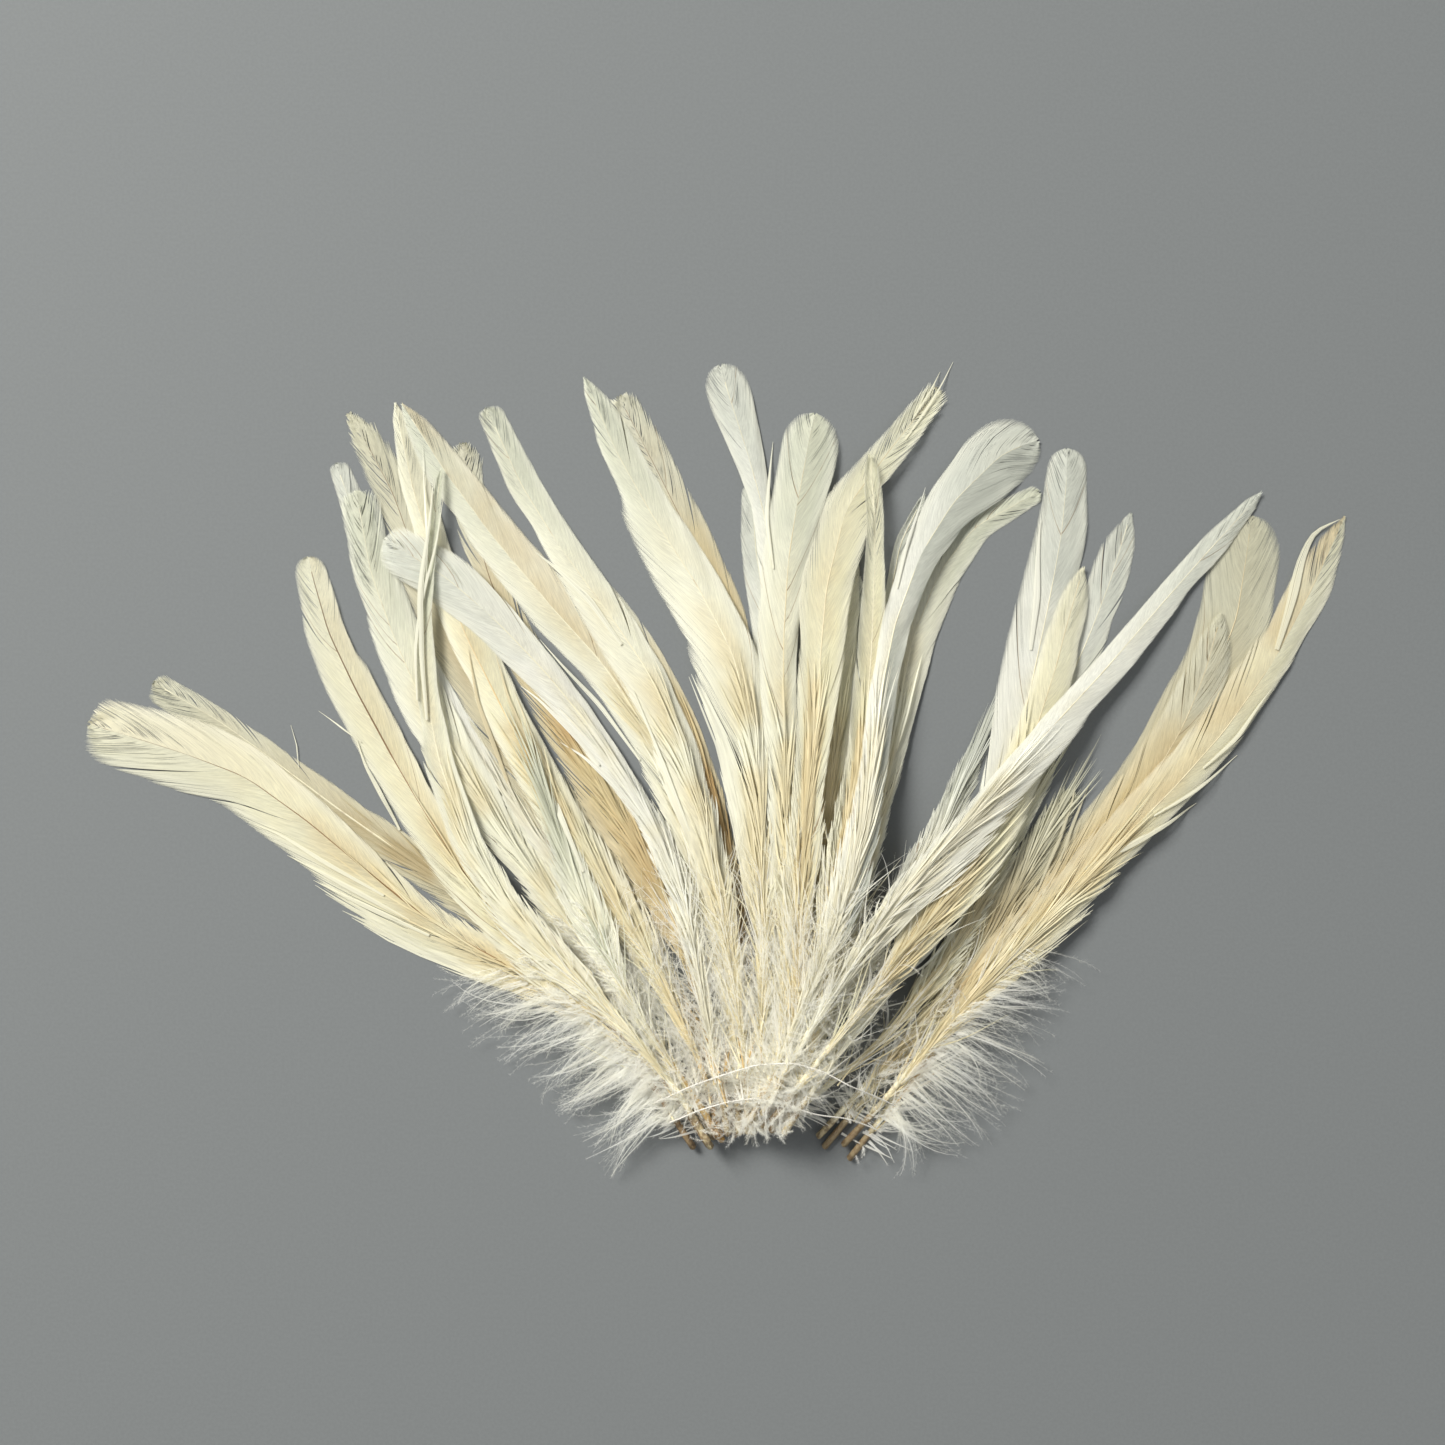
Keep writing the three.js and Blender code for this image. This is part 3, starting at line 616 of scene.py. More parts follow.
@dataclass(frozen=True)
class ThreadFinish:
    """The finish of the stitching thread: pale cotton with a faint unevenness."""

    name: str = "stitching_thread"
    colour: Colour = (0.86, 0.84, 0.78)
    shade: Colour = (0.7, 0.67, 0.6)

    def material(self) -> bpy.types.Material:
        """Builds the thread's material.

        Returns:
            The material.
        """
        s = Sketch(self.name)
        fuzz = s.noise(s.places(), 1900.0, 2.0)
        colour = s.mix(s.span(fuzz, 0.3, 0.75), self.colour, self.shade)
        return s.finish(colour, 0.85, 0.1, s.bump(fuzz, 0.1 * MM, 0.5), 0.3)


@dataclass(frozen=True)
class PaperFinish:
    """The finish of the floor: plain matt paper."""

    name: str = "floor_paper"
    colour: Colour = (0.146, 0.156, 0.16)

    def material(self) -> bpy.types.Material:
        """Builds the floor's material.

        Returns:
            The material.
        """
        s = Sketch(self.name)
        grain = s.noise(s.places(), 900.0, 3.0)
        paler = tuple(1.06 * value for value in self.colour)
        colour = s.mix(s.span(grain, 0.3, 0.7), self.colour, paler)
        return s.finish(colour, 0.85, 0.0, s.bump(grain, 0.05 * MM, 0.3))


# Each stain colour is partly the tone's own tan and partly painted shade beside the shaft.
VANES = {
    Tone.WHITE: VaneFinish(
        "vane_white",
        root=(0.82, 0.8, 0.66),
        body=(0.87, 0.87, 0.79),
        tip=(0.68, 0.7, 0.62),
        shaft_tan_and_shade=(0.82, 0.78, 0.61),
    ),
    Tone.IVORY: VaneFinish(
        "vane_ivory",
        root=(0.8, 0.75, 0.55),
        body=(0.87, 0.86, 0.7),
        tip=(0.66, 0.68, 0.55),
        shaft_tan_and_shade=(0.79, 0.71, 0.47),
    ),
    Tone.CREAM: VaneFinish(
        "vane_cream",
        root=(0.79, 0.72, 0.49),
        body=(0.86, 0.83, 0.61),
        tip=(0.8, 0.79, 0.62),
        shaft_tan_and_shade=(0.77, 0.66, 0.4),
    ),
    Tone.TAN: VaneFinish(
        "vane_tan",
        root=(0.66, 0.54, 0.31),
        body=(0.7, 0.59, 0.34),
        tip=(0.68, 0.67, 0.53),
        shaft_tan_and_shade=(0.56, 0.38, 0.16),
        edge=0.25,
    ),
    Tone.KHAKI: VaneFinish(
        "vane_khaki",
        root=(0.66, 0.58, 0.37),
        body=(0.64, 0.59, 0.41),
        tip=(0.66, 0.65, 0.5),
        shaft_tan_and_shade=(0.52, 0.42, 0.23),
        edge=0.15,
    ),
}
SHAFTS = {
    ShaftTone.PALE: ShaftFinish(
        "shaft_pale", bare=(0.6, 0.5, 0.3), upper=(0.82, 0.77, 0.57), tip=(0.74, 0.7, 0.52)
    ),
    ShaftTone.GOLD: ShaftFinish(
        "shaft_gold", bare=(0.3, 0.23, 0.13), upper=(0.8, 0.73, 0.5), tip=(0.6, 0.5, 0.3)
    ),
    ShaftTone.AMBER: ShaftFinish(
        "shaft_amber", bare=(0.62, 0.36, 0.1), upper=(0.7, 0.5, 0.22), tip=(0.7, 0.64, 0.46)
    ),
    ShaftTone.BROWN: ShaftFinish(
        "shaft_brown", bare=(0.36, 0.25, 0.13), upper=(0.3, 0.18, 0.08), tip=(0.22, 0.15, 0.09)
    ),
}
DOWN = {Slot.DOWN: DownFinish("down_white", colour=(0.98, 0.98, 0.95), shade=(0.95, 0.94, 0.87))}


@dataclass
class Pile:
    """The height of what already lies on the table, on a square grid."""

    half_width: float = 0.27
    half_depth: float = 0.19
    cell: float = 0.7 * MM
    heights: np.ndarray = field(init=False)

    def __post_init__(self) -> None:
        """Clears the grid."""
        columns = int(2 * self.half_width / self.cell)
        rows = int(2 * self.half_depth / self.cell)
        self.heights = np.zeros((rows, columns))

    def cells(self, x: np.ndarray, y: np.ndarray) -> tuple[np.ndarray, np.ndarray]:
        """Gives the cells that places lie in, kept on the grid.

        Args:
            x: The places' X.
            y: The places' Y.

        Returns:
            Their rows and columns.
        """
        rows = np.clip(((y + self.half_depth) / self.cell).astype(int), 0, self.heights.shape[0] - 1)
        columns = np.clip(((x + self.half_width) / self.cell).astype(int), 0, self.heights.shape[1] - 1)
        return rows, columns

    def rest(self, points: np.ndarray, gap: float) -> np.ndarray:
        """Lifts points that would sink into the pile.

        Args:
            points: The points, whose last axis is X, Y and Z.
            gap: How far above the pile they stay.

        Returns:
            The lifted points.
        """
        rows, columns = self.cells(points[..., 0], points[..., 1])
        lifted = points.copy()
        lifted[..., 2] = np.maximum(points[..., 2], self.heights[rows, columns] + gap)
        return lifted

    def add(self, points: np.ndarray) -> None:
        """Lays points on the pile, and softens the steps between their heights.

        Args:
            points: The points, whose last axis is X, Y and Z.
        """
        rows, columns = self.cells(points[..., 0].ravel(), points[..., 1].ravel())
        fresh = np.zeros_like(self.heights)
        np.maximum.at(fresh, (rows, columns), points[..., 2].ravel())
        for axis in (0, 1):
            fresh = np.maximum(fresh, np.maximum(np.roll(fresh, 1, axis), np.roll(fresh, -1, axis)))
        soft = fresh.copy()
        for axis in (0, 1):
            soft = (soft + np.roll(soft, 1, axis) + np.roll(soft, -1, axis)) / 3
        self.heights = np.maximum(self.heights, np.minimum(fresh, soft))


@dataclass
class Shaft:
    """The line of a feather's shaft, followed along the ridge of its solid, a sample each millimetre."""

    node: str
    tip: Tip
    step: float = 1 * MM
    along: np.ndarray = field(init=False)
    line: np.ndarray = field(init=False)
    normal: np.ndarray = field(init=False)
    left: np.ndarray = field(init=False)
    right: np.ndarray = field(init=False)
    vane_height: np.ndarray = field(init=False)
    tree: BVHTree = field(init=False)

    def __post_init__(self) -> None:
        """Follows the ridge from the quill's end to the tip and measures the vane on both sides."""
        self.tree = solid_tree(self.node)
        ridge = self.ridge()
        lengths = travelled(ridge[:, :2])
        self.along = np.arange(0, lengths[-1], self.step)
        x, y, z = sampled(ridge, lengths, self.along).T
        self.line = np.stack([smoothed(x, 7), smoothed(y, 7), smoothed(z, 4)], axis=1)
        self.normal = left_of(self.line[:, :2])
        self.left, left_height = self.edge(1)
        self.right, right_height = self.edge(-1)
        for side in (self.left, self.right):
            self.shape_tip(side)
        self.vane_height = smoothed((left_height + right_height) / 2, 5)

    @property
    def length(self) -> float:
        """The shaft's length."""
        return float(self.along[-1])

    def beside(self, side: int) -> np.ndarray:
        """Gives the half width at each sample, on the left or the right."""
        return self.left if side == SIDES[0] else self.right

    def top(self, x: float, y: float) -> float:
        """Gives the solid's height at a place, or not a number where it isn't."""
        return surface(self.tree, x, y, 0.2)

    def ridge(self) -> np.ndarray:
        """Follows the highest line of the solid.

        Returns:
            The line's points, from the quill's end to the tip.
        """
        plan = np.array([v.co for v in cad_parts[self.node].data.vertices])[:, :2]
        gather = from_pixel(*GATHER_PIXEL)
        nearest = plan[np.argmin(np.linalg.norm(plan - gather, axis=1))]
        away = np.linalg.norm(plan - nearest, axis=1)
        foot = np.unique(plan[away < 3.2 * MM].round(5), axis=0).mean(axis=0)
        away = np.linalg.norm(plan - foot, axis=1)
        second = np.unique(plan[(away > 10 * MM) & (away < 17 * MM)].round(5), axis=0).mean(axis=0)
        heading = (second - foot) / np.linalg.norm(second - foot)
        offsets = np.arange(-3.0, 3.01, 0.2) * MM
        place = foot
        points = [[*foot, self.top(*(foot + heading * 0.2 * MM))]]
        while True:
            ahead = place + heading * self.step
            across = np.array([-heading[1], heading[0]])
            heights = np.array([self.top(*(ahead + across * offset)) for offset in offsets])
            if np.isnan(heights).all():
                return np.array(points)
            best = ahead + across * offsets[np.nanargmax(heights)]
            turned = best - place
            heading = 0.65 * heading + 0.35 * turned / np.linalg.norm(turned)
            heading /= np.linalg.norm(heading)
            place = best
            points.append([*place, np.nanmax(heights)])

    def edge(self, side: int) -> tuple[np.ndarray, np.ndarray]:
        """Measures how far the solid reaches beside the shaft.

        Args:
            side: 1 for the left and -1 for the right, seen from the quill.

        Returns:
            The half width, and the solid's height two thirds of the way out, at each sample.
        """
        stations = np.arange(0, len(self.along), 2)
        widths, heights = [], []
        for i in stations:
            reach, found = 0.0, [self.line[i, 2]]
            while reach < WIDEST_VANE:
                x, y = self.line[i, :2] + side * self.normal[i] * (reach + 0.5 * MM)
                height = self.top(x, y)
                if math.isnan(height):
                    break
                reach += 0.5 * MM
                found.append(height)
            widths.append(reach + 0.25 * MM)
            heights.append(found[(2 * len(found)) // 3])
        wide = smoothed(widest(np.array(widths), 3), 2)
        return (
            np.interp(self.along, self.along[stations], wide),
            np.interp(self.along, self.along[stations], np.array(heights)),
        )

    def shape_tip(self, widths: np.ndarray) -> None:
        """Gives the last stretch of a half width its tip's shape.

        Args:
            widths: The half width at each sample, changed in place.
        """
        near = float(np.interp(self.length - 7 * MM, self.along, widths))
        size = max(self.tip.value.length * near, 2.5 * MM)
        start = self.length - size
        share = np.clip((self.along - start) / size, 0, 1)
        full = float(np.interp(start, self.along, widths))
        widths[:] = np.where(self.along > start, full * self.tip.width(share), widths)

    def read(self, values: np.ndarray, along: np.ndarray) -> np.ndarray:
        """Reads a row of samples at any distance along the shaft."""
        return np.interp(along, self.along, values)

    def place(self, along: np.ndarray, beside: np.ndarray, height: np.ndarray) -> np.ndarray:
        """Turns distances along and beside the shaft into points.

        Args:
            along: How far along the shaft; past the tip it goes straight on.
            beside: How far to its left.
            height: The points' height.

        Returns:
            The points, with X, Y and Z on a last axis.
        """
        over = np.maximum(along - self.length, 0)
        normal = unit(np.stack([self.read(self.normal[:, k], along) for k in (0, 1)], axis=-1))
        tangent = np.stack([normal[..., 1], -normal[..., 0]], axis=-1)
        base = np.stack([self.read(self.line[:, k], along) for k in (0, 1)], axis=-1)
        plan = base + normal * beside[..., None] + tangent * over[..., None]
        return np.concatenate([plan, np.broadcast_to(height, along.shape)[..., None]], axis=-1)


@dataclass
class Weave:
    """Collects ribbons, tubes and hairs, and joins them in one mesh."""

    points: list[np.ndarray] = field(default_factory=list)
    quads: list[np.ndarray] = field(default_factory=list)
    triangles: list[np.ndarray] = field(default_factory=list)
    quad_slots: list[np.ndarray] = field(default_factory=list)
    triangle_slots: list[np.ndarray] = field(default_factory=list)
    values: dict[str, list[np.ndarray]] = field(
        default_factory=lambda: {"along": [], "across": [], "barb": [], "side_tone_and_shade": []}
    )
    count: int = 0

    def add_points(
        self, points: np.ndarray, along: np.ndarray, across: np.ndarray, barb: np.ndarray, side_tone_and_shade: float = 0.0
    ) -> int:
        """Adds points with their values.

        Args:
            points: The points, with X, Y and Z on the last axis.
            along: Each point's share of the feather's length.
            across: Each point's share of the half width, negative on the right.
            barb: A number of its own for each barb.
            side_tone_and_shade: How tan the points are, or how grey where it is negative; partly their own
                colour, partly painted shade on one side.

        Returns:
            The first point's index.
        """
        start = self.count
        shape = points.shape[:-1]
        self.points.append(points.reshape(-1, 3))
        for key, value in (("along", along), ("across", across), ("barb", barb), ("side_tone_and_shade", side_tone_and_shade)):
            self.values[key].append(np.broadcast_to(value, shape).ravel())
        self.count += int(np.prod(shape))
        return start

    def ribbons(
        self,
        lines: np.ndarray,
        sides: np.ndarray,
        slot: Slot,
        along: np.ndarray,
        across: np.ndarray,
        barb: np.ndarray,
        side_tone_and_shade: float = 0.0,
    ) -> None:
        """Adds flat ribbons.

        Args:
            lines: The middle lines, one row of points each.
            sides: The step from the middle to one edge at each point.
            slot: The ribbons' material.
            along: Each point's share of the feather's length.
            across: Each point's share of the half width.
            barb: Each ribbon's own number.
            side_tone_and_shade: How tan they are, or how grey where it is negative; partly their own colour,
                partly painted shade on one side.
        """
        rows, steps = lines.shape[:2]
        both = np.stack([lines - sides, lines + sides], axis=2)
        start = self.add_points(both, along[..., None], across[..., None], barb[:, None, None], side_tone_and_shade)
        first = start + (np.arange(rows)[:, None] * steps + np.arange(steps - 1)[None, :]) * 2
        faces = np.stack([first, first + 1, first + 3, first + 2], axis=-1).reshape(-1, 4)
        self.quads.append(faces)
        self.quad_slots.append(np.full(len(faces), slot.value))

    def tube(
        self,
        line: np.ndarray,
        radii: np.ndarray,
        slot: Slot,
        sides: int,
        along: np.ndarray,
        barb: float,
        squash: float = 1.0,
    ) -> None:
        """Adds a round tube with a hollow at its start.

        Args:
            line: The middle line's points.
            radii: The radius at each point.
            slot: The tube's material.
            sides: How many sides it has.
            along: Each point's share of the feather's length.
            barb: The tube's own number.
            squash: Its height over its width.
        """
        _, right, upward = bearings(line)
        turn = np.linspace(0, 2 * math.pi, sides, endpoint=False)
        spokes = right[:, None] * np.cos(turn)[:, None] + squash * upward[:, None] * np.sin(turn)[:, None]
        rings = line[:, None] + spokes * radii[:, None, None]
        start = self.add_points(rings, along[:, None], np.cos(turn)[None, :] * 0.1, barb)
        cell = np.arange(len(line) - 1)[:, None] * sides
        turns = np.arange(sides)[None, :]
        after = (turns + 1) % sides
        faces = np.stack([cell + turns, cell + sides + turns, cell + sides + after, cell + after], axis=-1)
        self.quads.append(start + faces.reshape(-1, 4))
        self.quad_slots.append(np.full(len(self.quads[-1]), slot.value))
        last = start + (len(line) - 1) * sides
        fan = np.array([[last, last + k + 1, last + k] for k in range(1, sides - 1)])
        self.triangles.append(fan)
        self.triangle_slots.append(np.full(len(fan), slot.value))

    def hairs(
        self,
        roots: np.ndarray,
        sides: np.ndarray,
        tips: np.ndarray,
        slot: Slot,
        along: np.ndarray,
        barb: np.ndarray,
    ) -> None:
        """Adds hairs of one triangle each.

        Args:
            roots: The middle of each hair's root.
            sides: The step from there to the root's edge.
            tips: Each hair's tip.
            slot: The hairs' material.
            along: Each hair's share of the feather's length.
            barb: Each hair's own number.
        """
        corners = np.stack([roots - sides, roots + sides, tips], axis=1)
        start = self.add_points(corners, along[:, None], np.zeros((1, 1)), barb[:, None])
        faces = start + np.arange(len(roots) * 3).reshape(-1, 3)
        self.triangles.append(faces)
        self.triangle_slots.append(np.full(len(faces), slot.value))

    def object(self, name: str, materials: list[bpy.types.Material]) -> bpy.types.Object:
        """Makes one object of all that was added.

        Args:
            name: The object's name.
            materials: Its materials, in the slots' order.

        Returns:
            The object, linked to the scene.
        """
        points = np.concatenate(self.points)
        quads = np.concatenate(self.quads)
        triangles = np.concatenate(self.triangles)
        corners = np.concatenate([quads.ravel(), triangles.ravel()])
        starts = np.concatenate([np.arange(len(quads)) * 4, quads.size + np.arange(len(triangles)) * 3])
        mesh = bpy.data.meshes.new(name)
        mesh.vertices.add(len(points))
        mesh.vertices.foreach_set("co", points.ravel().astype(np.float32))
        mesh.loops.add(len(corners))
        mesh.loops.foreach_set("vertex_index", corners.astype(np.int32))
        mesh.polygons.add(len(starts))
        mesh.polygons.foreach_set("loop_start", starts.astype(np.int32))
        slots = np.concatenate(self.quad_slots + self.triangle_slots)
        for material in materials:
            mesh.materials.append(material)
        mesh.polygons.foreach_set("material_index", slots.astype(np.int32))
        values = {key: np.concatenate(parts) for key, parts in self.values.items()}
        for key, value in values.items():
            made = mesh.attributes.new(key, "FLOAT", "POINT")
            made.data.foreach_set("value", value.astype(np.float32))
        beside = np.clip(values["across"], -1, 1)
        chart = np.stack([0.02 + 0.96 * values["along"], 0.5 + 0.48 * beside], axis=1)
        layer = mesh.uv_layers.new(name="OFBake")
        layer.data.foreach_set("uv", chart[corners].ravel().astype(np.float32))
        mesh.update(calc_edges=True)
        mesh.polygons.foreach_set("use_smooth", np.ones(len(starts), bool))
        made = bpy.data.objects.new(name, mesh)
        bpy.context.scene.collection.objects.link(made)
        return made


@dataclass
class Tuft:
    """Soft barbs on one side of a shaft, each with its own root, length and bearing.

    angle is the one to the shaft at which a barb leaves, bend the turn by its end, fall how much
    lower the end hangs, and gather how far forward the end is drawn to its lock. hair is the length
    of the fine hairs that each of them has, width half a barb's own width, lift the share of its
    length that a barb may rise, and gap how far above the pile it stays. shade is how much further
    along the feather its colour is taken from.
    """

    side: int
    roots: np.ndarray
    length: np.ndarray
    angle: np.ndarray
    bend: np.ndarray
    height: np.ndarray
    pile: Pile | None
    fall: float | np.ndarray = 0.0
    gather: float | np.ndarray = 0.0
    hairs: int = 0
    hair: float = 0.0
    width: float | np.ndarray = 0.09 * MM
    lift: float = 0.26
    gap: float = 0.3 * MM
    slot: Slot = Slot.DOWN
    shade: float = 0.0


@dataclass
class Barbs:
    """One vane's barbs: their roots along the shaft, and the locks that they lie in.

    loose is 1 where the vane begins and 0 where it is firm, and late rises to 1 at the tip. lock is
    each barb's lock, and bounds are the places where one lock ends and the next begins.
    """

    side: int
    roots: np.ndarray
    loose: np.ndarray
    late: np.ndarray
    lock: np.ndarray
    bounds: np.ndarray


@dataclass
class Feather:
    """One feather: its quill and shaft, its two vanes of barbs, and its down.

    slant is how far a barb goes forward for each step outward. The vane rises and falls by wave over
    wave_length, and a gap between two locks closes over split_length. A vane that is wider than skirt
    near the foot is at the bunch's side, where the down stands out far.
    """

    node: str
    look: Look
    seed: int
    pitch: float = 0.55 * MM
    slant: float = 3.4
    wave: float = 0.45 * MM
    wave_length: float = 14 * MM
    split_length: float = 3.5 * MM
    tip_length: float = 60 * MM
    overlap: float = 0.92
    barb_shares: tuple[float, ...] = (0.0, 0.12, 0.27, 0.44, 0.61, 0.77, 0.9, 1.0)
    barb_half_widths: tuple[float, float] = (0.08 * MM, 0.68 * MM)
    strand_count: int = 130
    strand_steps: int = 7
    strand_part: tuple[float, float] = (30 * MM, 135 * MM)
    down_count: int = 34
    down_steps: int = 8
    skirt: float = 12 * MM
    hair_half_width: float = 0.058 * MM
    shaft: Shaft = field(init=False)
    chance: np.random.Generator = field(init=False)
    weave: Weave = field(init=False, default_factory=Weave)
    crest: np.ndarray = field(init=False)

    def __post_init__(self) -> None:
        """Follows the feather's solid, and starts its own row of random numbers."""
        self.shaft = Shaft(self.node, self.look.tip)
        self.chance = np.random.default_rng(self.seed)
        self.crest = self.shaft.line[:, 2].copy()

    def lay(self, pile: Pile) -> None:
        """Lays the feather's vanes, shaft and lower down on the pile.

        Args:
            pile: What already lies on the table.
        """
        firm = [self.vane(side, pile) for side in SIDES]
        self.rachis()
        self.strands()
        for side in SIDES:
            self.wadding(side, pile)
            self.down(side, pile)
        quill = self.shaft.place(self.shaft.along, 0 * self.shaft.along, self.shaft.line[:, 2])
        raised = self.shaft.along < 90 * MM
        pile.add(np.concatenate([part.reshape(-1, 3) for part in (*firm, quill[raised])]))

    def dress(self, pile: Pile, materials: dict[Enum, bpy.types.Material]) -> bpy.types.Object:
        """Adds what lies on top of the whole bunch, and makes the feather's object.

        Args:
            pile: The finished pile.
            materials: The shared materials, by tone, shaft tone or slot.

        Returns:
            The object, in place of the feather's solid.
        """
        for side in SIDES:
            self.fleece(side, pile, Slot.VANE, 22)
            self.fleece(side, pile, Slot.DOWN, 16)
        for side in SIDES:
            self.mantle(side, pile)
            self.hem(side, pile)
        for sliver in self.look.slivers:
            self.sliver(sliver, pile)
        dress = [materials[self.look.tone], materials[self.look.shaft], materials[Slot.DOWN]]
        made = self.weave.object(self.node + "_plume", dress)
        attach(made, "root")
        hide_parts(self.node)
        return made

    def half_width(self, side: int, along: np.ndarray) -> np.ndarray:
        """Gives the vane's half width, which past the tip is none.

        Args:
            side: 1 for the left and -1 for the right.
            along: Distances along the shaft.

        Returns:
            The half widths.
        """
        shaft = self.shaft
        width = shaft.read(shaft.beside(side), along)
        return np.where(along > shaft.length, width - 3 * (along - shaft.length), width)

    def radius(self, along: np.ndarray) -> np.ndarray:
        """Gives the shaft's radius."""
        share = np.clip(along / self.shaft.length, 0, 1)
        return SHAFT_TIP_RADIUS + (QUILL_RADIUS - SHAFT_TIP_RADIUS) * (1 - share) ** 1.45

    def softness(self, side: int) -> float:
        """Gives one side's share of the soft barbs."""
        return self.look.down_sides[SIDES.index(side)]

    def drift(self, places: np.ndarray, wave: float) -> np.ndarray:
        """Gives slow random values, about -1 to 1, that change over a given distance.

        Args:
            places: Where they are read, in metres.
            wave: The distance over which they change.

        Returns:
            The values.
        """
        knots = np.arange(places.min() - 2 * wave, places.max() + 3 * wave, wave)
        values = self.chance.normal(0, 0.6, len(knots))
        cell = np.clip(((places - knots[0]) / wave).astype(int), 0, len(knots) - 2)
        share = (places - knots[cell]) / wave
        share = share * share * (3 - 2 * share)
        return values[cell] * (1 - share) + values[cell + 1] * share

    def barbs(self, side: int) -> Barbs:
        """Sets out the roots of one vane's barbs, and parts them in locks.

        Args:
            side: 1 for the left and -1 for the right.

        Returns:
            The barbs.
        """
        length, chance = self.shaft.length, self.chance
        spacing = np.arange(VANE_START, length - 1.0 * MM, self.pitch)
        roots = spacing + chance.uniform(-0.12, 0.12, len(spacing)) * self.pitch
        splits = np.sort(chance.uniform(VANE_START, length - 8 * MM, self.look.splits))
        return Barbs(
            side=side,
            roots=roots,
            loose=1 - ramp(roots, VANE_START, FIRM_VANE),
            late=ramp(roots, length - self.tip_length, length),
            lock=np.searchsorted(splits, roots),
            bounds=np.concatenate([[VANE_START], splits, [length]]),
        )

    def slants(self, barbs: Barbs) -> np.ndarray:
        """Gives how far each barb goes forward for each step outward.

        Args:
            barbs: The vane's barbs.

        Returns:
            Each barb's slant, a little different from its neighbours' and from lock to lock.
        """
        look, chance = self.look, self.chance
        slant = self.slant + 1.3 * barbs.loose + look.tip.value.turn * barbs.late
        slant = slant + 0.1 * self.drift(barbs.roots, self.wave_length)
        ruffled = 0.003 + 0.12 * barbs.loose + 0.04 * look.frayed**2 * barbs.late
        slant = slant * (1 + chance.normal(0, ruffled, len(barbs.roots)))
        return slant * (1 + chance.normal(0, 0.004 + 0.012 * look.frayed, len(barbs.bounds))[barbs.lock])

    def reach(self, barbs: Barbs, slant: np.ndarray) -> np.ndarray:
        """Finds how far out each barb goes: to the vane's edge, which is frayed and stepped.

        Args:
            barbs: The vane's barbs.
            slant: How far each goes forward for each step outward.

        Returns:
            Each barb's reach beside the shaft.
        """
        roots, look, chance = barbs.roots, self.look, self.chance
        low, high = np.zeros_like(roots), np.full_like(roots, WIDEST_VANE)
        for _ in range(26):
            middle = (low + high) / 2
            inside = self.half_width(barbs.side, roots + slant * middle) > middle
            low, high = np.where(inside, middle, low), np.where(inside, high, middle)
        ends = chance.normal(0, 0.006 + 0.07 * look.frayed**1.5 * (0.2 + barbs.late), len(roots))
        ends += barbs.loose * chance.uniform(-0.35, 0.3, len(roots))
        first, last = barbs.bounds[barbs.lock], barbs.bounds[barbs.lock + 1]
        ends -= 0.1 * look.opening * (1 - (roots - first) / (last - first + 1e-9)) ** 3
        return np.maximum(low * (1 + ends), 0.3 * MM)

    def parting(self, barbs: Barbs) -> np.ndarray:
        """Gives how far the gaps beside its lock turn each barb forward or back.

        Args:
            barbs: The vane's barbs.

        Returns:
            The step forward at each barb's end.
        """
        chance, count = self.chance, len(barbs.bounds)
        parted = chance.uniform(0, 1, count) < self.look.opening
        gaps = np.where(parted, chance.uniform(0.5, 2.8, count), 0.05) * MM
        gaps[[0, -1]] = 0.0
        since = barbs.roots - barbs.bounds[barbs.lock]
        until = barbs.bounds[barbs.lock + 1] - barbs.roots
        behind = gaps[barbs.lock] * np.exp(-since / self.split_length)
        ahead = gaps[barbs.lock + 1] * np.exp(-until / self.split_length)
        return (behind - ahead) * (1 - barbs.late)

    def vane(self, side: int, pile: Pile) -> np.ndarray:
        """Adds one vane's barbs.

        Args:
            side: 1 for the left and -1 for the right.
            pile: What lies beneath.

        Returns:
            The points of the firm part, for the pile.
        """
        shaft, look, chance = self.shaft, self.look, self.chance
        barbs = self.barbs(side)
        count = len(barbs.roots)
        slant = self.slants(barbs)[:, None]
        reach = self.reach(barbs, slant[:, 0])[:, None]
        t = np.array(self.barb_shares)[None, :]
        forward = slant * reach * (0.55 * t + 0.45 * t**2) + self.parting(barbs)[:, None] * t**1.8
        stray = chance.normal(0, 1.0, (count, 1)) * np.sin(math.pi * t * chance.uniform(0.6, 1.5, (count, 1)))
        stray = stray * MM * (1.2 * barbs.loose + 0.5 * look.frayed * barbs.late)[:, None]
        along = barbs.roots[:, None] + forward
        beside = side * (self.radius(barbs.roots)[:, None] * 0.2 + reach * t + stray)
        share = np.clip(reach * t / np.maximum(self.half_width(side, along), 1 * MM), 0, 1.2)
        height = shaft.read(shaft.vane_height, along) + look.cup * MM * (share**2 - 0.25)
        height = height + self.drift(barbs.roots, self.wave_length)[:, None] * self.wave * share
        ruffled = chance.normal(0, 0.09, len(barbs.bounds))[barbs.lock] + 0.5 * barbs.loose
        lines = self.settled(shaft.place(along, beside, height + ruffled[:, None] * MM * t), pile)
        self.raise_crest(barbs, lines[:, 0, 2])
        self.cover(barbs, lines, np.clip(along / shaft.length, 0, 1), share)
        return lines[barbs.loose < 0.6]

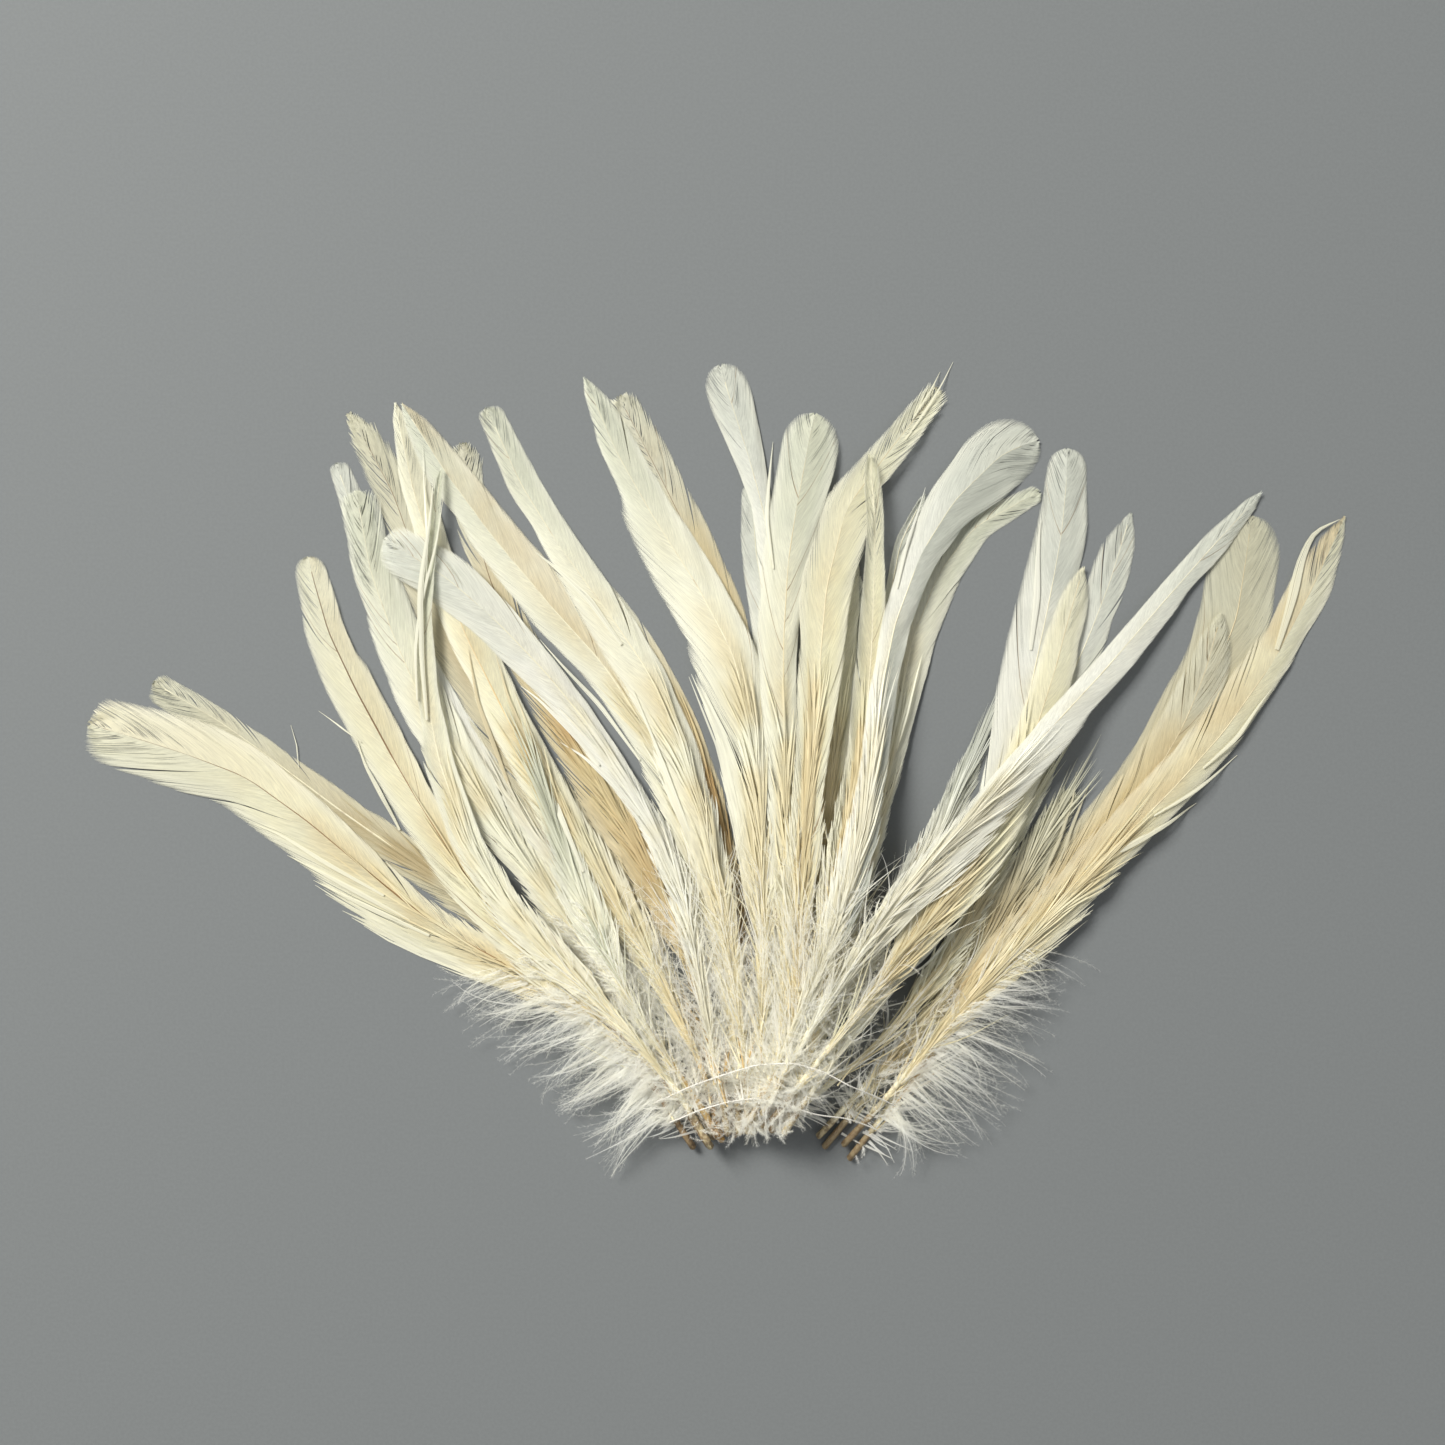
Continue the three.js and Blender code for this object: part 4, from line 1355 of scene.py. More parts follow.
    def settled(self, lines: np.ndarray, pile: Pile) -> np.ndarray:
        """Lays barbs on the pile as one sheet, with gentle slopes over what lies beneath.

        Args:
            lines: The barbs' middle lines.
            pile: What lies beneath.

        Returns:
            The lines at their new heights.
        """
        lifted = pile.rest(lines, 0.14 * MM)
        raised = lifted[..., 2] - lines[..., 2]
        raised = np.stack([smoothed(widest(column, 6), 7) for column in raised.T], axis=1)
        raised[:, 1:-1] = np.maximum(raised[:, 1:-1], (raised[:, :-2] + raised[:, 2:]) / 2)
        lifted[..., 2] = np.maximum(lines[..., 2] + raised, 0.12 * MM)
        return lifted

    def raise_crest(self, barbs: Barbs, heights: np.ndarray) -> None:
        """Notes how high the vane begins, for the shaft that lies in it.

        Args:
            barbs: The vane's barbs.
            heights: The height of each barb's root.
        """
        along = self.shaft.along
        level = np.interp(along, barbs.roots, heights)
        if barbs.side != SIDES[0]:
            level = np.maximum(self.crest, level)
        inside = (along > barbs.roots[0]) & (along < barbs.roots[-1])
        self.crest = np.where(inside, level, self.crest)

    def cover(self, barbs: Barbs, lines: np.ndarray, along: np.ndarray, share: np.ndarray) -> None:
        """Covers one vane with ribbons that just close the gaps between its barbs.

        Args:
            barbs: The vane's barbs.
            lines: Their middle lines.
            along: Each point's share of the feather's length.
            share: Each point's share of the half width.
        """
        look, chance = self.look, self.chance
        t = np.array(self.barb_shares)[None, :]
        _, right, upward = bearings(lines)
        outward = right * barbs.side
        gaps = np.abs((np.diff(lines, axis=0) * outward[1:]).sum(axis=-1))
        gaps = np.minimum(np.vstack([gaps, gaps[-1:]]), np.vstack([gaps[:1], gaps]))
        gaps = np.stack([smoothed(column, 4) for column in gaps.T], axis=1)
        half = np.clip(gaps * self.overlap, *self.barb_half_widths)
        thin = ramp(barbs.roots / self.shaft.length, look.thin, min(look.thin + 0.2, 1.0))[:, None]
        half = half * (1 - (1 - look.sparse) * thin) * (1 - 0.45 * barbs.loose[:, None]) * (1 - 0.85 * t**16)
        roll = 0.06 + 0.04 * self.drift(barbs.roots, 1.3 * MM)
        roll = roll + chance.normal(0, 0.05, len(barbs.bounds))[barbs.lock]
        # Each barb's value, smooth from barb to barb, sets its streaks in the material (partly its own tone,
        # partly painted sheen), and it also marks the brown barbs.
        marks = 0.5 + 0.3 * self.drift(barbs.roots, 2.2 * MM) + chance.normal(0, 0.1, len(lines))
        marks = np.clip(marks, 0, 1) + (chance.uniform(0, 1, len(lines)) < look.brown)
        # The side's tone, tanner or greyer: partly the vane's own colour, partly painted shade on one side.
        side_tone_and_shade = look.side_tone_and_shade[SIDES.index(barbs.side)]
        sides = to_edge(outward, upward, roll, half)
        self.weave.ribbons(lines, sides, Slot.VANE, along, barbs.side * share, marks, side_tone_and_shade)

    def rachis(self) -> None:
        """Adds the quill and the shaft, sunk between the vanes."""
        shaft = self.shaft
        along = np.concatenate([[1.2 * MM, 0.0], np.arange(0, shaft.length - 4 * MM, 4 * MM)])
        radii = self.radius(along)
        radii[0] *= 0.45
        radii[1] *= 0.8
        bare = 1 - ramp(along, VANE_START - 12 * MM, VANE_START + 12 * MM)
        sunk = np.interp(along, shaft.along, smoothed(self.crest, 9)) + 0.28 * radii
        top = sunk * (1 - bare) + shaft.read(shaft.line[:, 2], along) * bare
        line = shaft.place(along, np.zeros_like(along), np.maximum(top - radii, radii))
        self.weave.tube(line, radii, Slot.SHAFT, 7, along / shaft.length, float(self.chance.uniform()), 0.95)

    def strands(self) -> None:
        """Lays long barbs forward over the shaft, so that it shows only here and there."""
        shaft, chance = self.shaft, self.chance
        count = int(self.strand_count * self.look.cover)
        roots = np.sort(chance.uniform(*self.strand_part, count))
        length = chance.uniform(26, 52, count) * MM
        t = np.linspace(0, 1, self.strand_steps)[None, :]
        side = chance.choice([-1.0, 1.0], count)
        left, right = (shaft.read(widest(shaft.beside(one), 8), roots) for one in SIDES)
        wide = np.where(side > 0, left, right)
        aim = chance.beta(1.1, 1.6, count) * np.minimum(wide * 1.05, 9 * MM)
        along = roots[:, None] + length[:, None] * t
        first = chance.uniform(-0.8, 0.8, count) * self.radius(roots)
        beside = first[:, None] + (side * aim)[:, None] * t**1.15
        stray = chance.normal(0, 0.35, (count, 1)) * np.sin(math.pi * t * chance.uniform(1, 2.2, (count, 1)))
        beside = beside + stray * MM
        crest = np.interp(along, shaft.along, smoothed(self.crest, 9))
        raised = self.radius(along) * np.exp(-((beside / (2.2 * MM)) ** 2))
        height = crest + raised + (0.25 + chance.uniform(0, 0.9, (count, 1)) * np.sin(math.pi * t)) * MM
        lines = shaft.place(along, beside, height)
        _, flat, upward = bearings(lines)
        roll = chance.normal(0, 0.35, count)
        half = chance.uniform(0.14, 0.34, (count, 1)) * MM * (0.75 + 0.5 * np.sin(math.pi * t))
        half = half * (1 - 0.9 * t**5)
        sides = to_edge(flat, upward, roll, half)
        marks = chance.uniform(0, 1, count)
        shares = np.clip(along / shaft.length, 0, 1)
        self.weave.ribbons(lines, sides, Slot.VANE, shares, beside / (20 * MM), marks)

    def down(self, side: int, pile: Pile) -> None:
        """Adds one side's down, which stands out far where the feather is at the bunch's side.

        Args:
            side: 1 for the left and -1 for the right.
            pile: What lies beneath.
        """
        shaft, look, chance = self.shaft, self.look, self.chance
        wide = widest(shaft.beside(side), 6)
        outer = wide[20:80].max() > self.skirt
        amount = self.softness(side)
        count = int(self.down_count * (8.0 if outer else 1.0) * amount)
        if count < 2:
            return
        roots = np.sort(DOWN_START + (DOWN_END - DOWN_START) * chance.beta(1.1, 1.5, count))
        locks = np.sort(chance.uniform(DOWN_START, DOWN_END, 30 if outer else 9))
        lock = np.searchsorted(locks, roots)
        size = len(locks) + 1
        span = shaft.read(wide, np.clip(roots, 32 * MM, 85 * MM)) if outer else look.down * MM * amount
        length = span * chance.uniform(0.5, 1.05, count) * chance.uniform(0.85, 1.1, size)[lock]
        angle = np.radians(104 - 60 * ramp(roots, DOWN_START, DOWN_END) ** 0.8)
        angle += chance.normal(0, 0.09, count) + chance.normal(0, 0.09, size)[lock]
        height = shaft.read(shaft.line[:, 2], roots) + 0.2 * MM
        middle = np.array([roots[lock == i].mean() if (lock == i).any() else 0.0 for i in range(size)])
        self.tuft(
            Tuft(
                side=side,
                roots=roots,
                length=length / np.maximum(np.sin(np.clip(angle, 0.5, 2.2)), 0.6),
                angle=angle,
                bend=chance.normal(-0.05, 0.22, count) + chance.normal(0, 0.4, size)[lock],
                height=height,
                pile=None if outer else pile,
                fall=np.maximum(height - 1.5 * MM, 0) * (0.75 if outer else 0.1),
                gather=(middle[lock] - roots) * chance.uniform(0.7, 1.05, count),
                hairs=62 if outer else 30,
                hair=2.5 * MM if outer else 1.7 * MM,
                width=np.where(np.arange(count) % 6 == 0, 0.36 * MM, 0.1 * MM) if outer else 0.09 * MM,
            )
        )

    def wadding(self, side: int, pile: Pile) -> None:
        """Adds broad soft barbs that close the gaps between the quills.

        Args:
            side: 1 for the left and -1 for the right.
            pile: What lies beneath.
        """
        shaft, chance = self.shaft, self.chance
        count = int(24 * min(1.0, self.look.mantle / 30) * self.softness(side))
        if count < 2:
            return
        roots = np.sort(chance.uniform(6, 62, count)) * MM
        self.tuft(
            Tuft(
                side=side,
                roots=roots,
                length=chance.uniform(8, 17, count) * MM,
                angle=np.radians(chance.uniform(8, 45, count) + 60 * (1 - ramp(roots, 8 * MM, 26 * MM))),
                bend=chance.normal(0, 0.3, count),
                height=shaft.read(shaft.line[:, 2], roots) * 0.6,
                pile=pile,
                hairs=12,
                hair=2.2 * MM,
                width=0.5 * MM,
            )
        )

    def fleece(self, side: int, pile: Pile, slot: Slot, amount: int) -> None:
        """Adds long limp barbs that lie forward over the foot of the bunch.

        Args:
            side: 1 for the left and -1 for the right.
            pile: The finished pile.
            slot: Their material.
            amount: How many a feather has at the most.
        """
        shaft, chance = self.shaft, self.chance
        count = int(amount * min(1.0, self.look.mantle / 30) * self.softness(side))
        if count < 2:
            return
        roots = np.sort(chance.uniform(12, 84, count)) * MM
        self.tuft(
            Tuft(
                side=side,
                roots=roots,
                length=chance.uniform(13, 30, count) * MM * (0.5 + 0.5 * ramp(roots, 12 * MM, 30 * MM)),
                angle=np.radians(chance.normal(10, 9, count)),
                bend=chance.normal(0, 0.3, count),
                height=shaft.read(shaft.line[:, 2], roots) + 0.2 * MM,
                pile=pile,
                width=0.3 * MM,
                lift=0.06,
                slot=slot,
                shade=0.4,
            )
        )

    def mantle(self, side: int, pile: Pile) -> None:
        """Adds short down that lies forward over the foot of the bunch.

        Args:
            side: 1 for the left and -1 for the right.
            pile: The finished pile.
        """
        chance, count = self.chance, int(self.look.mantle * self.softness(side))
        if count < 1:
            return
        roots = np.sort(chance.uniform(14, 70, count)) * MM
        lock = np.arange(count) // LOCK_SIZE
        low = 1 - ramp(roots, 14 * MM, 34 * MM)
        angle = chance.uniform(2, 40, lock[-1] + 1)[lock] + chance.normal(0, 7, count) + 55 * low
        length = chance.uniform(9, 19, count) * MM * (1 - 0.4 * low)
        self.cotton(side, roots, lock, np.radians(angle), length, pile)

    def hem(self, side: int, pile: Pile) -> None:
        """Adds short down that lies backwards over the quill ends.

        Args:
            side: 1 for the left and -1 for the right.
            pile: The finished pile.
        """
        chance, count = self.chance, int(self.look.hem * self.softness(side))
        if count < 1:
            return
        roots = np.sort(chance.uniform(2, 20, count)) * MM
        lock = np.arange(count) // LOCK_SIZE
        angle = chance.uniform(120, 172, lock[-1] + 1)[lock] + chance.normal(0, 6, count)
        length = chance.uniform(3.5, 8.0, count) * MM
        self.cotton(side, roots, lock, np.radians(angle), length, pile)

    def cotton(
        self,
        side: int,
        roots: np.ndarray,
        lock: np.ndarray,
        angle: np.ndarray,
        length: np.ndarray,
        pile: Pile,
    ) -> None:
        """Adds short down in locks on the finished pile.

        Args:
            side: 1 for the left and -1 for the right.
            roots: Where each barb leaves the shaft.
            lock: The lock that each lies in.
            angle: The angle to the shaft at which each leaves.
            length: Each barb's length on a feather with as much down as is usual.
            pile: The finished pile.
        """
        middle = np.array([roots[lock == i].mean() for i in range(lock[-1] + 1)])
        self.tuft(
            Tuft(
                side=side,
                roots=roots,
                length=length * self.look.down / USUAL_DOWN,
                angle=angle,
                bend=self.chance.normal(0, 0.22, len(middle))[lock],
                height=self.shaft.read(self.shaft.line[:, 2], roots) + 1.2 * MM,
                pile=pile,
                gather=(middle[lock] - roots) * 0.7,
                hairs=56,
                hair=1.8 * MM,
                gap=1.3 * MM,
            )
        )

    def sliver(self, sliver: Sliver, pile: Pile) -> None:
        """Adds one loose lock on top of the pile.

        Args:
            sliver: Its route and sizes.
            pile: The finished pile.
        """
        chance = self.chance
        knots = np.array([from_pixel(*pixel) for pixel in sliver.route])
        lengths = travelled(knots)
        fine = sampled(knots, lengths, np.linspace(0, lengths[-1], 61))
        plan = np.stack([smoothed(column, 7) for column in fine.T], axis=1)[::4]
        u = np.linspace(0, 1, len(plan))
        across = left_of(plan)
        width = sliver.width * MM * np.clip(u / 0.5, 0, 1) ** 0.8 * (1 - 0.5 * np.clip((u - 0.6) / 0.4, 0, 1))
        count = max(2, round(sliver.width / 0.28))
        offset = ((np.arange(count) + 0.5) / count - 0.5)[:, None] + chance.normal(0, 0.03, (count, 1))
        level = pile.rest(np.column_stack([plan, 0 * u]), 0.3 * MM)[:, 2]
        level = smoothed(widest(level, 1), 2) + sliver.rise * MM * np.sin(math.pi * np.clip(1 - u, 0, 1)) ** 2
        height = level[None, :] + (0.3 - offset**2 * 1.2) * sliver.width * MM * 0.3
        lines = plan[None] + across[None] * (offset * width[None])[..., None]
        lines = np.concatenate([lines, height[..., None]], axis=-1)
        half = np.maximum(width / count * 0.62, 0.05 * MM)[None, :] * np.ones((count, 1))
        side = np.concatenate([across, 0 * u[:, None]], axis=1)[None] * half[..., None]
        shares = np.broadcast_to(0.62 - 0.2 * u, (count, len(u)))
        marks = np.clip(0.5 + chance.normal(0, 0.25, count), 0, 1)
        self.weave.ribbons(lines, side, Slot.VANE, shares, np.ones((count, 1)), marks)

    def tuft(self, tuft: Tuft) -> None:
        """Adds soft barbs that curl away from the shaft.

        Args:
            tuft: The barbs.
        """
        shaft, chance = self.shaft, self.chance
        count = len(tuft.roots)
        t = np.linspace(0, 1, self.down_steps)[None, :]
        sway = chance.normal(0, 0.07, (count, 1)) * np.sin(t * chance.uniform(4, 8, (count, 1)))
        heading = tuft.angle[:, None] + tuft.bend[:, None] * t**1.4 + sway
        step = tuft.length[:, None] / (self.down_steps - 1)
        fall, gather, width = (
            np.broadcast_to(value, count)[:, None] for value in (tuft.fall, tuft.gather, tuft.width)
        )
        forward = np.cumsum(np.cos(heading) * step, axis=1) + gather * t**1.3
        outward = np.cumsum(np.sin(heading) * step, axis=1)
        lines = shaft.place(tuft.roots[:, None] + 0 * t, tuft.side * outward, 0.0)
        normal = np.stack([shaft.read(shaft.normal[:, k], tuft.roots) for k in (0, 1)], axis=-1)
        tangent = np.stack([normal[:, 1], -normal[:, 0]], axis=-1)
        lines[..., :2] += tangent[:, None] * forward[..., None]
        lift = chance.uniform(0.0, 1.0, (count, 1)) * np.minimum(tuft.length[:, None], 10 * MM) * tuft.lift
        lines[..., 2] = tuft.height[:, None] + lift * np.sin(t * 2.2) - fall * t**1.5
        if tuft.pile is not None:
            rested = tuft.pile.rest(lines, tuft.gap)[..., 2]
            rested = np.stack([smoothed(widest(row, 1), 4) for row in rested]) + 0.4 * lift * np.sin(t * 2.2)
            lines[..., 2] = np.maximum(lines[..., 2], rested)
        lines[..., 2] = np.maximum(lines[..., 2], 0.25 * MM)
        ahead, flat, _ = bearings(lines)
        half = width * (1 - 0.88 * t)
        shares = np.broadcast_to((tuft.roots / shaft.length + tuft.shade)[:, None], (count, self.down_steps))
        across = tuft.side * np.clip(outward / (25 * MM), 0, 1)
        marks = chance.uniform(0, 1, count)
        self.weave.ribbons(lines, flat * half[..., None], tuft.slot, shares, across, marks)
        if tuft.hairs:
            self.fuzz(lines, ahead, flat, tuft, marks)

    def fuzz(
        self, lines: np.ndarray, run: np.ndarray, flat: np.ndarray, tuft: Tuft, marks: np.ndarray
    ) -> None:
        """Adds the fine hairs that stand out from the down's barbs.

        Args:
            lines: The barbs' middle lines.
            run: The direction at each of their points.
            flat: The sideways direction there.
            tuft: The barbs.
            marks: Each barb's own number.
        """
        chance = self.chance
        count = len(lines) * tuft.hairs
        barb = np.repeat(np.arange(len(lines)), tuft.hairs)
        where = chance.uniform(0.3, self.down_steps - 1.05, count)
        cell = where.astype(int)
        share = (where - cell)[:, None]
        root = lines[barb, cell] * (1 - share) + lines[barb, cell + 1] * share
        ahead, beside = run[barb, cell], flat[barb, cell]
        turn = chance.choice([-1.0, 1.0], count)[:, None]
        length = tuft.hair * chance.uniform(0.45, 1.05, count) * (1.15 - 0.6 * where / self.down_steps)
        lean = chance.uniform(0.6, 2.9, count)[:, None]
        upward = np.array(UP) * chance.normal(0, 0.3, count)[:, None]
        tips = root + unit(ahead * lean + beside * turn + upward) * length[:, None]
        tips[:, 2] = np.maximum(tips[:, 2], 0.15 * MM)
        places = tuft.roots[barb] / self.shaft.length
        self.weave.hairs(root, ahead * self.hair_half_width, tips, Slot.DOWN, places, marks[barb])


# The tint of each feather's left and right vane is partly its own colour and partly painted shade on one
# side.
LOOKS = {
    "feather_01_left_under": Look(Tone.KHAKI, Tip.BLUNT, frayed=0.4, hem=2, mantle=8),
    "feather_02_centre_frayed": Look(
        Tone.TAN, Tip.BLUNT, ShaftTone.BROWN, hem=15, frayed=1.0, opening=0.6, splits=15,
    ),
    "feather_03_blue_white": Look(Tone.WHITE, Tip.ROUND, hem=10, thin=0.7, side_tone_and_shade=(-0.3, -0.3)),
    "feather_04_right_round": Look(
        Tone.KHAKI, Tip.ROUND, ShaftTone.GOLD, down=7, cup=-0.3, thin=0.72, splits=5, opening=0.15,
        hem=0, mantle=56, down_sides=(0.7, 0.4),
    ),
    "feather_05_right_frayed": Look(
        Tone.KHAKI, Tip.BLUNT, down=7, frayed=1.2, opening=0.6, splits=13, hem=0, mantle=56,
        down_sides=(0.7, 0.35),
        slivers=(
            Sliver(((1076, 772), (1072, 800), (1058, 840), (1035, 890)), 1.2),
            Sliver(((1090, 782), (1076, 815), (1058, 860)), 1.0),
        ),
    ),
    "feather_06_left_grey": Look(
        Tone.WHITE, Tip.BLUNT, opening=0.15, sparse=0.95, hem=4, thin=0.7, side_tone_and_shade=(-0.2, -0.15),
    ),
    "feather_07_left_frayed": Look(
        Tone.KHAKI, Tip.POINT, ShaftTone.BROWN, side_tone_and_shade=(0.1, 0.1), frayed=1.1, thin=0.75, sparse=0.82,
        opening=0.525,
    ),
    "feather_08_left_ragged": Look(
        Tone.IVORY, Tip.BLUNT, sparse=0.85, hem=6, frayed=0.7, thin=0.7, splits=12,
    ),
    "feather_09_centre_shaded": Look(Tone.TAN, Tip.POINT),
    "feather_10_tan": Look(
        Tone.TAN, Tip.ROUND, ShaftTone.BROWN, frayed=0.9, opening=0.9, splits=22,
        slivers=(
            Sliver(((470, 650), (478, 700), (500, 760), (515, 800)), 1.6),
            Sliver(((497, 655), (510, 700), (530, 745), (548, 790)), 1.2),
            Sliver(((515, 690), (535, 740), (560, 790)), 0.8),
        ),
    ),
    "feather_11_right_tan": Look(
        Tone.TAN, Tip.POINT, ShaftTone.GOLD, down=7, frayed=0.5, opening=0.525, splits=13, hem=3,
        mantle=44, down_sides=(0.3, 1.0),
    ),
    "feather_12_pale_narrow": Look(Tone.WHITE, Tip.POINT, hem=10, mantle=18),
    "feather_13_grey_tip": Look(
        Tone.WHITE, Tip.POINT, hem=4, thin=0.7, sparse=0.95, side_tone_and_shade=(0.0, -0.25), mantle=14,
        down_sides=(0.8, 0.2),
    ),
    "feather_14_short_wisp": Look(Tone.WHITE, Tip.POINT, hem=15, frayed=0.9, opening=0.6),
    "feather_15_low_right": Look(Tone.CREAM, Tip.POINT, down_sides=(0.4, 0.15), hem=4, cup=1.0),
    "feather_16_white_sliver": Look(Tone.WHITE, Tip.POINT, hem=15, cup=0.8),
    "feather_17_top_round": Look(
        Tone.WHITE, Tip.ROUND, thin=0.75, splits=4, opening=0.12, side_tone_and_shade=(-0.2, -0.25),
    ),
    "feather_18_yellow_vane": Look(Tone.CREAM, Tip.ROUND, hem=15),
    "feather_19_far_left": Look(
        Tone.CREAM, Tip.BLUNT, ShaftTone.BROWN, cover=0.2, cup=-1.4, frayed=0.5, thin=0.97,
        opening=0.42, splits=11, side_tone_and_shade=(-0.2, 0.25), hem=0, mantle=8,
        slivers=(
            Sliver(((250, 822), (282, 834), (330, 864), (385, 895)), 1.6),
            Sliver(((288, 855), (322, 872), (365, 895), (410, 920)), 1.8),
            Sliver(((314, 880), (342, 894), (385, 914), (430, 935)), 1.8),
            Sliver(((291, 725), (297, 745), (299, 768)), 0.3),
        ),
    ),
    "feather_20_left_dark_shaft": Look(
        Tone.CREAM, Tip.ROUND, ShaftTone.BROWN, cover=0.2, cup=0.9, splits=6, opening=0.18,
        side_tone_and_shade=(0.0, 0.3), hem=0, mantle=8,
        slivers=(
            Sliver(((319, 711), (340, 726), (362, 742)), 0.5),
            Sliver(((357, 738), (366, 765), (382, 795), (400, 830)), 1.6),
        ),
    ),
    "feather_21_left_point": Look(
        Tone.CREAM, Tip.POINT, ShaftTone.AMBER, side_tone_and_shade=(0.0, 0.15), mantle=12, hem=2, splits=4,
        opening=0.12,
    ),
    "feather_22_left_broad": Look(
        Tone.IVORY, Tip.POINT, cup=-1.2, splits=7, opening=0.21, side_tone_and_shade=(0.0, 0.45),
        slivers=(
            Sliver(((541, 640), (565, 668), (600, 705), (640, 760)), 1.4),
        ),
    ),
    "feather_23_white_cross": Look(
        Tone.WHITE, Tip.BLUNT, mantle=20, hem=6, cup=-1.0, opening=0.39, side_tone_and_shade=(-0.1, 0.1),
        slivers=(
            Sliver(((521, 686), (540, 700), (570, 730), (600, 765)), 1.6),
            Sliver(((560, 742), (585, 757), (615, 785), (640, 815)), 1.6),
        ),
    ),
    "feather_24_white_short": Look(
        Tone.IVORY, Tip.POINT, ShaftTone.AMBER, mantle=22, hem=4, cup=0.8,
        slivers=(
            Sliver(((530, 745), (545, 775), (560, 810), (585, 870)), 1.8),
        ),
    ),
    "feather_25_left_upright": Look(
        Tone.IVORY, Tip.POINT, mantle=12, hem=2, cup=1.2, splits=4, opening=0.15,
        slivers=(
            Sliver(((437, 478), (433, 525), (423, 590), (424, 660), (429, 720)), 1.9),
            Sliver(((446, 500), (440, 545), (425, 600), (418, 650), (420, 700)), 1.2),
            Sliver(((424, 446), (425, 490), (431, 540), (428, 600)), 0.7),
        ),
    ),
    "feather_26_left_folded": Look(
        Tone.IVORY, Tip.BLUNT, side_tone_and_shade=(0.15, 0.0), cup=-1.6,
        slivers=(
            Sliver(((535, 552), (556, 568), (590, 600), (622, 645)), 2.4),
        ),
    ),
    "feather_27_longest": Look(
        Tone.IVORY, Tip.POINT, hem=15, cup=-1.6, splits=8, opening=0.24,
        slivers=(
            Sliver(((634, 690), (650, 730), (668, 775), (690, 830)), 1.2),
        ),
    ),
    "feather_28_centre_round": Look(
        Tone.IVORY, Tip.ROUND, ShaftTone.GOLD, hem=15, cover=0.4, brown=0.012, thin=0.76,
        sparse=0.85, splits=5, opening=0.15, side_tone_and_shade=(-0.15, -0.05),
        slivers=(
            Sliver(((773, 442), (769, 480), (766, 520), (773, 570)), 1.3),
        ),
    ),
    "feather_29_right_round": Look(Tone.IVORY, Tip.BLUNT, hem=10, cup=-1.4),
    "feather_30_bent_frayed": Look(
        Tone.CREAM, Tip.BLUNT, ShaftTone.GOLD, hem=15, cup=1.0, frayed=0.9, splits=10,
        opening=0.375,
        slivers=(
            Sliver(((953, 362), (942, 384), (926, 410), (905, 440)), 0.7),
            Sliver(((940, 372), (930, 392), (912, 420)), 0.8),
        ),
    ),
    "feather_31_rolled": Look(Tone.CREAM, Tip.POINT, hem=10, cup=1.8, frayed=0.5),
    "feather_32_paddle": Look(
        Tone.WHITE, Tip.ROUND, cup=-0.9, brown=0.008, thin=0.74, sparse=0.85, splits=6,
        opening=0.18, side_tone_and_shade=(-0.1, -0.85),
        slivers=(
            Sliver(((925, 488), (918, 510), (905, 545), (895, 590)), 1.0),
        ),
    ),
    "feather_33_white_round": Look(
        Tone.WHITE, Tip.ROUND, hem=10, thin=0.72, sparse=0.92, splits=4, opening=0.2,
        side_tone_and_shade=(-0.1, -0.45), mantle=16, down_sides=(1.0, 0.25),
        slivers=(
            Sliver(((1040, 521), (1037, 560), (1036, 600), (1030, 650)), 2.2),
        ),
    ),
    "feather_34_tan_middle": Look(
        Tone.CREAM, Tip.POINT, ShaftTone.GOLD, side_tone_and_shade=(0.18, 0.12), cup=-1.0, opening=0.33, mantle=16,
        down_sides=(1.0, 0.3),
    ),
    "feather_35_long_white": Look(
        Tone.WHITE, Tip.POINT, thin=0.97, splits=4, opening=0.09, mantle=18, down_sides=(1.0, 0.4),
    ),
    "feather_36_far_right": Look(
        Tone.CREAM, Tip.POINT, ShaftTone.GOLD, down=9, cup=-1.4, frayed=0.35, splits=12,
        opening=0.7, side_tone_and_shade=(0.5, 0.1), hem=0, mantle=44, down_sides=(0.35, 1.0),
        slivers=(
            Sliver(((1338, 520), (1313, 532), (1300, 560), (1290, 600), (1274, 650)), 3.4),
            Sliver(((1269, 689), (1256, 706), (1234, 738), (1200, 768)), 1.5),
            Sliver(((1237, 755), (1220, 770), (1190, 792), (1150, 815)), 1.2),
            Sliver(((1196, 803), (1172, 819), (1130, 842), (1080, 868)), 2.0),
        ),
    ),
}


@dataclass(frozen=True)
class Lamp:
    """A square soft lamp that faces the bunch."""

    name: str
    place: tuple[float, float, float]
    size: float
    power: float
    colour: Colour = (1.0, 0.98, 0.93)

    def hang(self) -> None:
        """Hangs the lamp."""
        light = bpy.data.lights.new(self.name, "AREA")
        light.size = self.size
        light.energy = self.power
        light.color = self.colour
        lamp = bpy.data.objects.new(self.name, light)
        lamp.location = self.place
        lamp.rotation_euler = (-Vector(self.place)).to_track_quat("-Z", "Y").to_euler()
        bpy.context.scene.collection.objects.link(lamp)


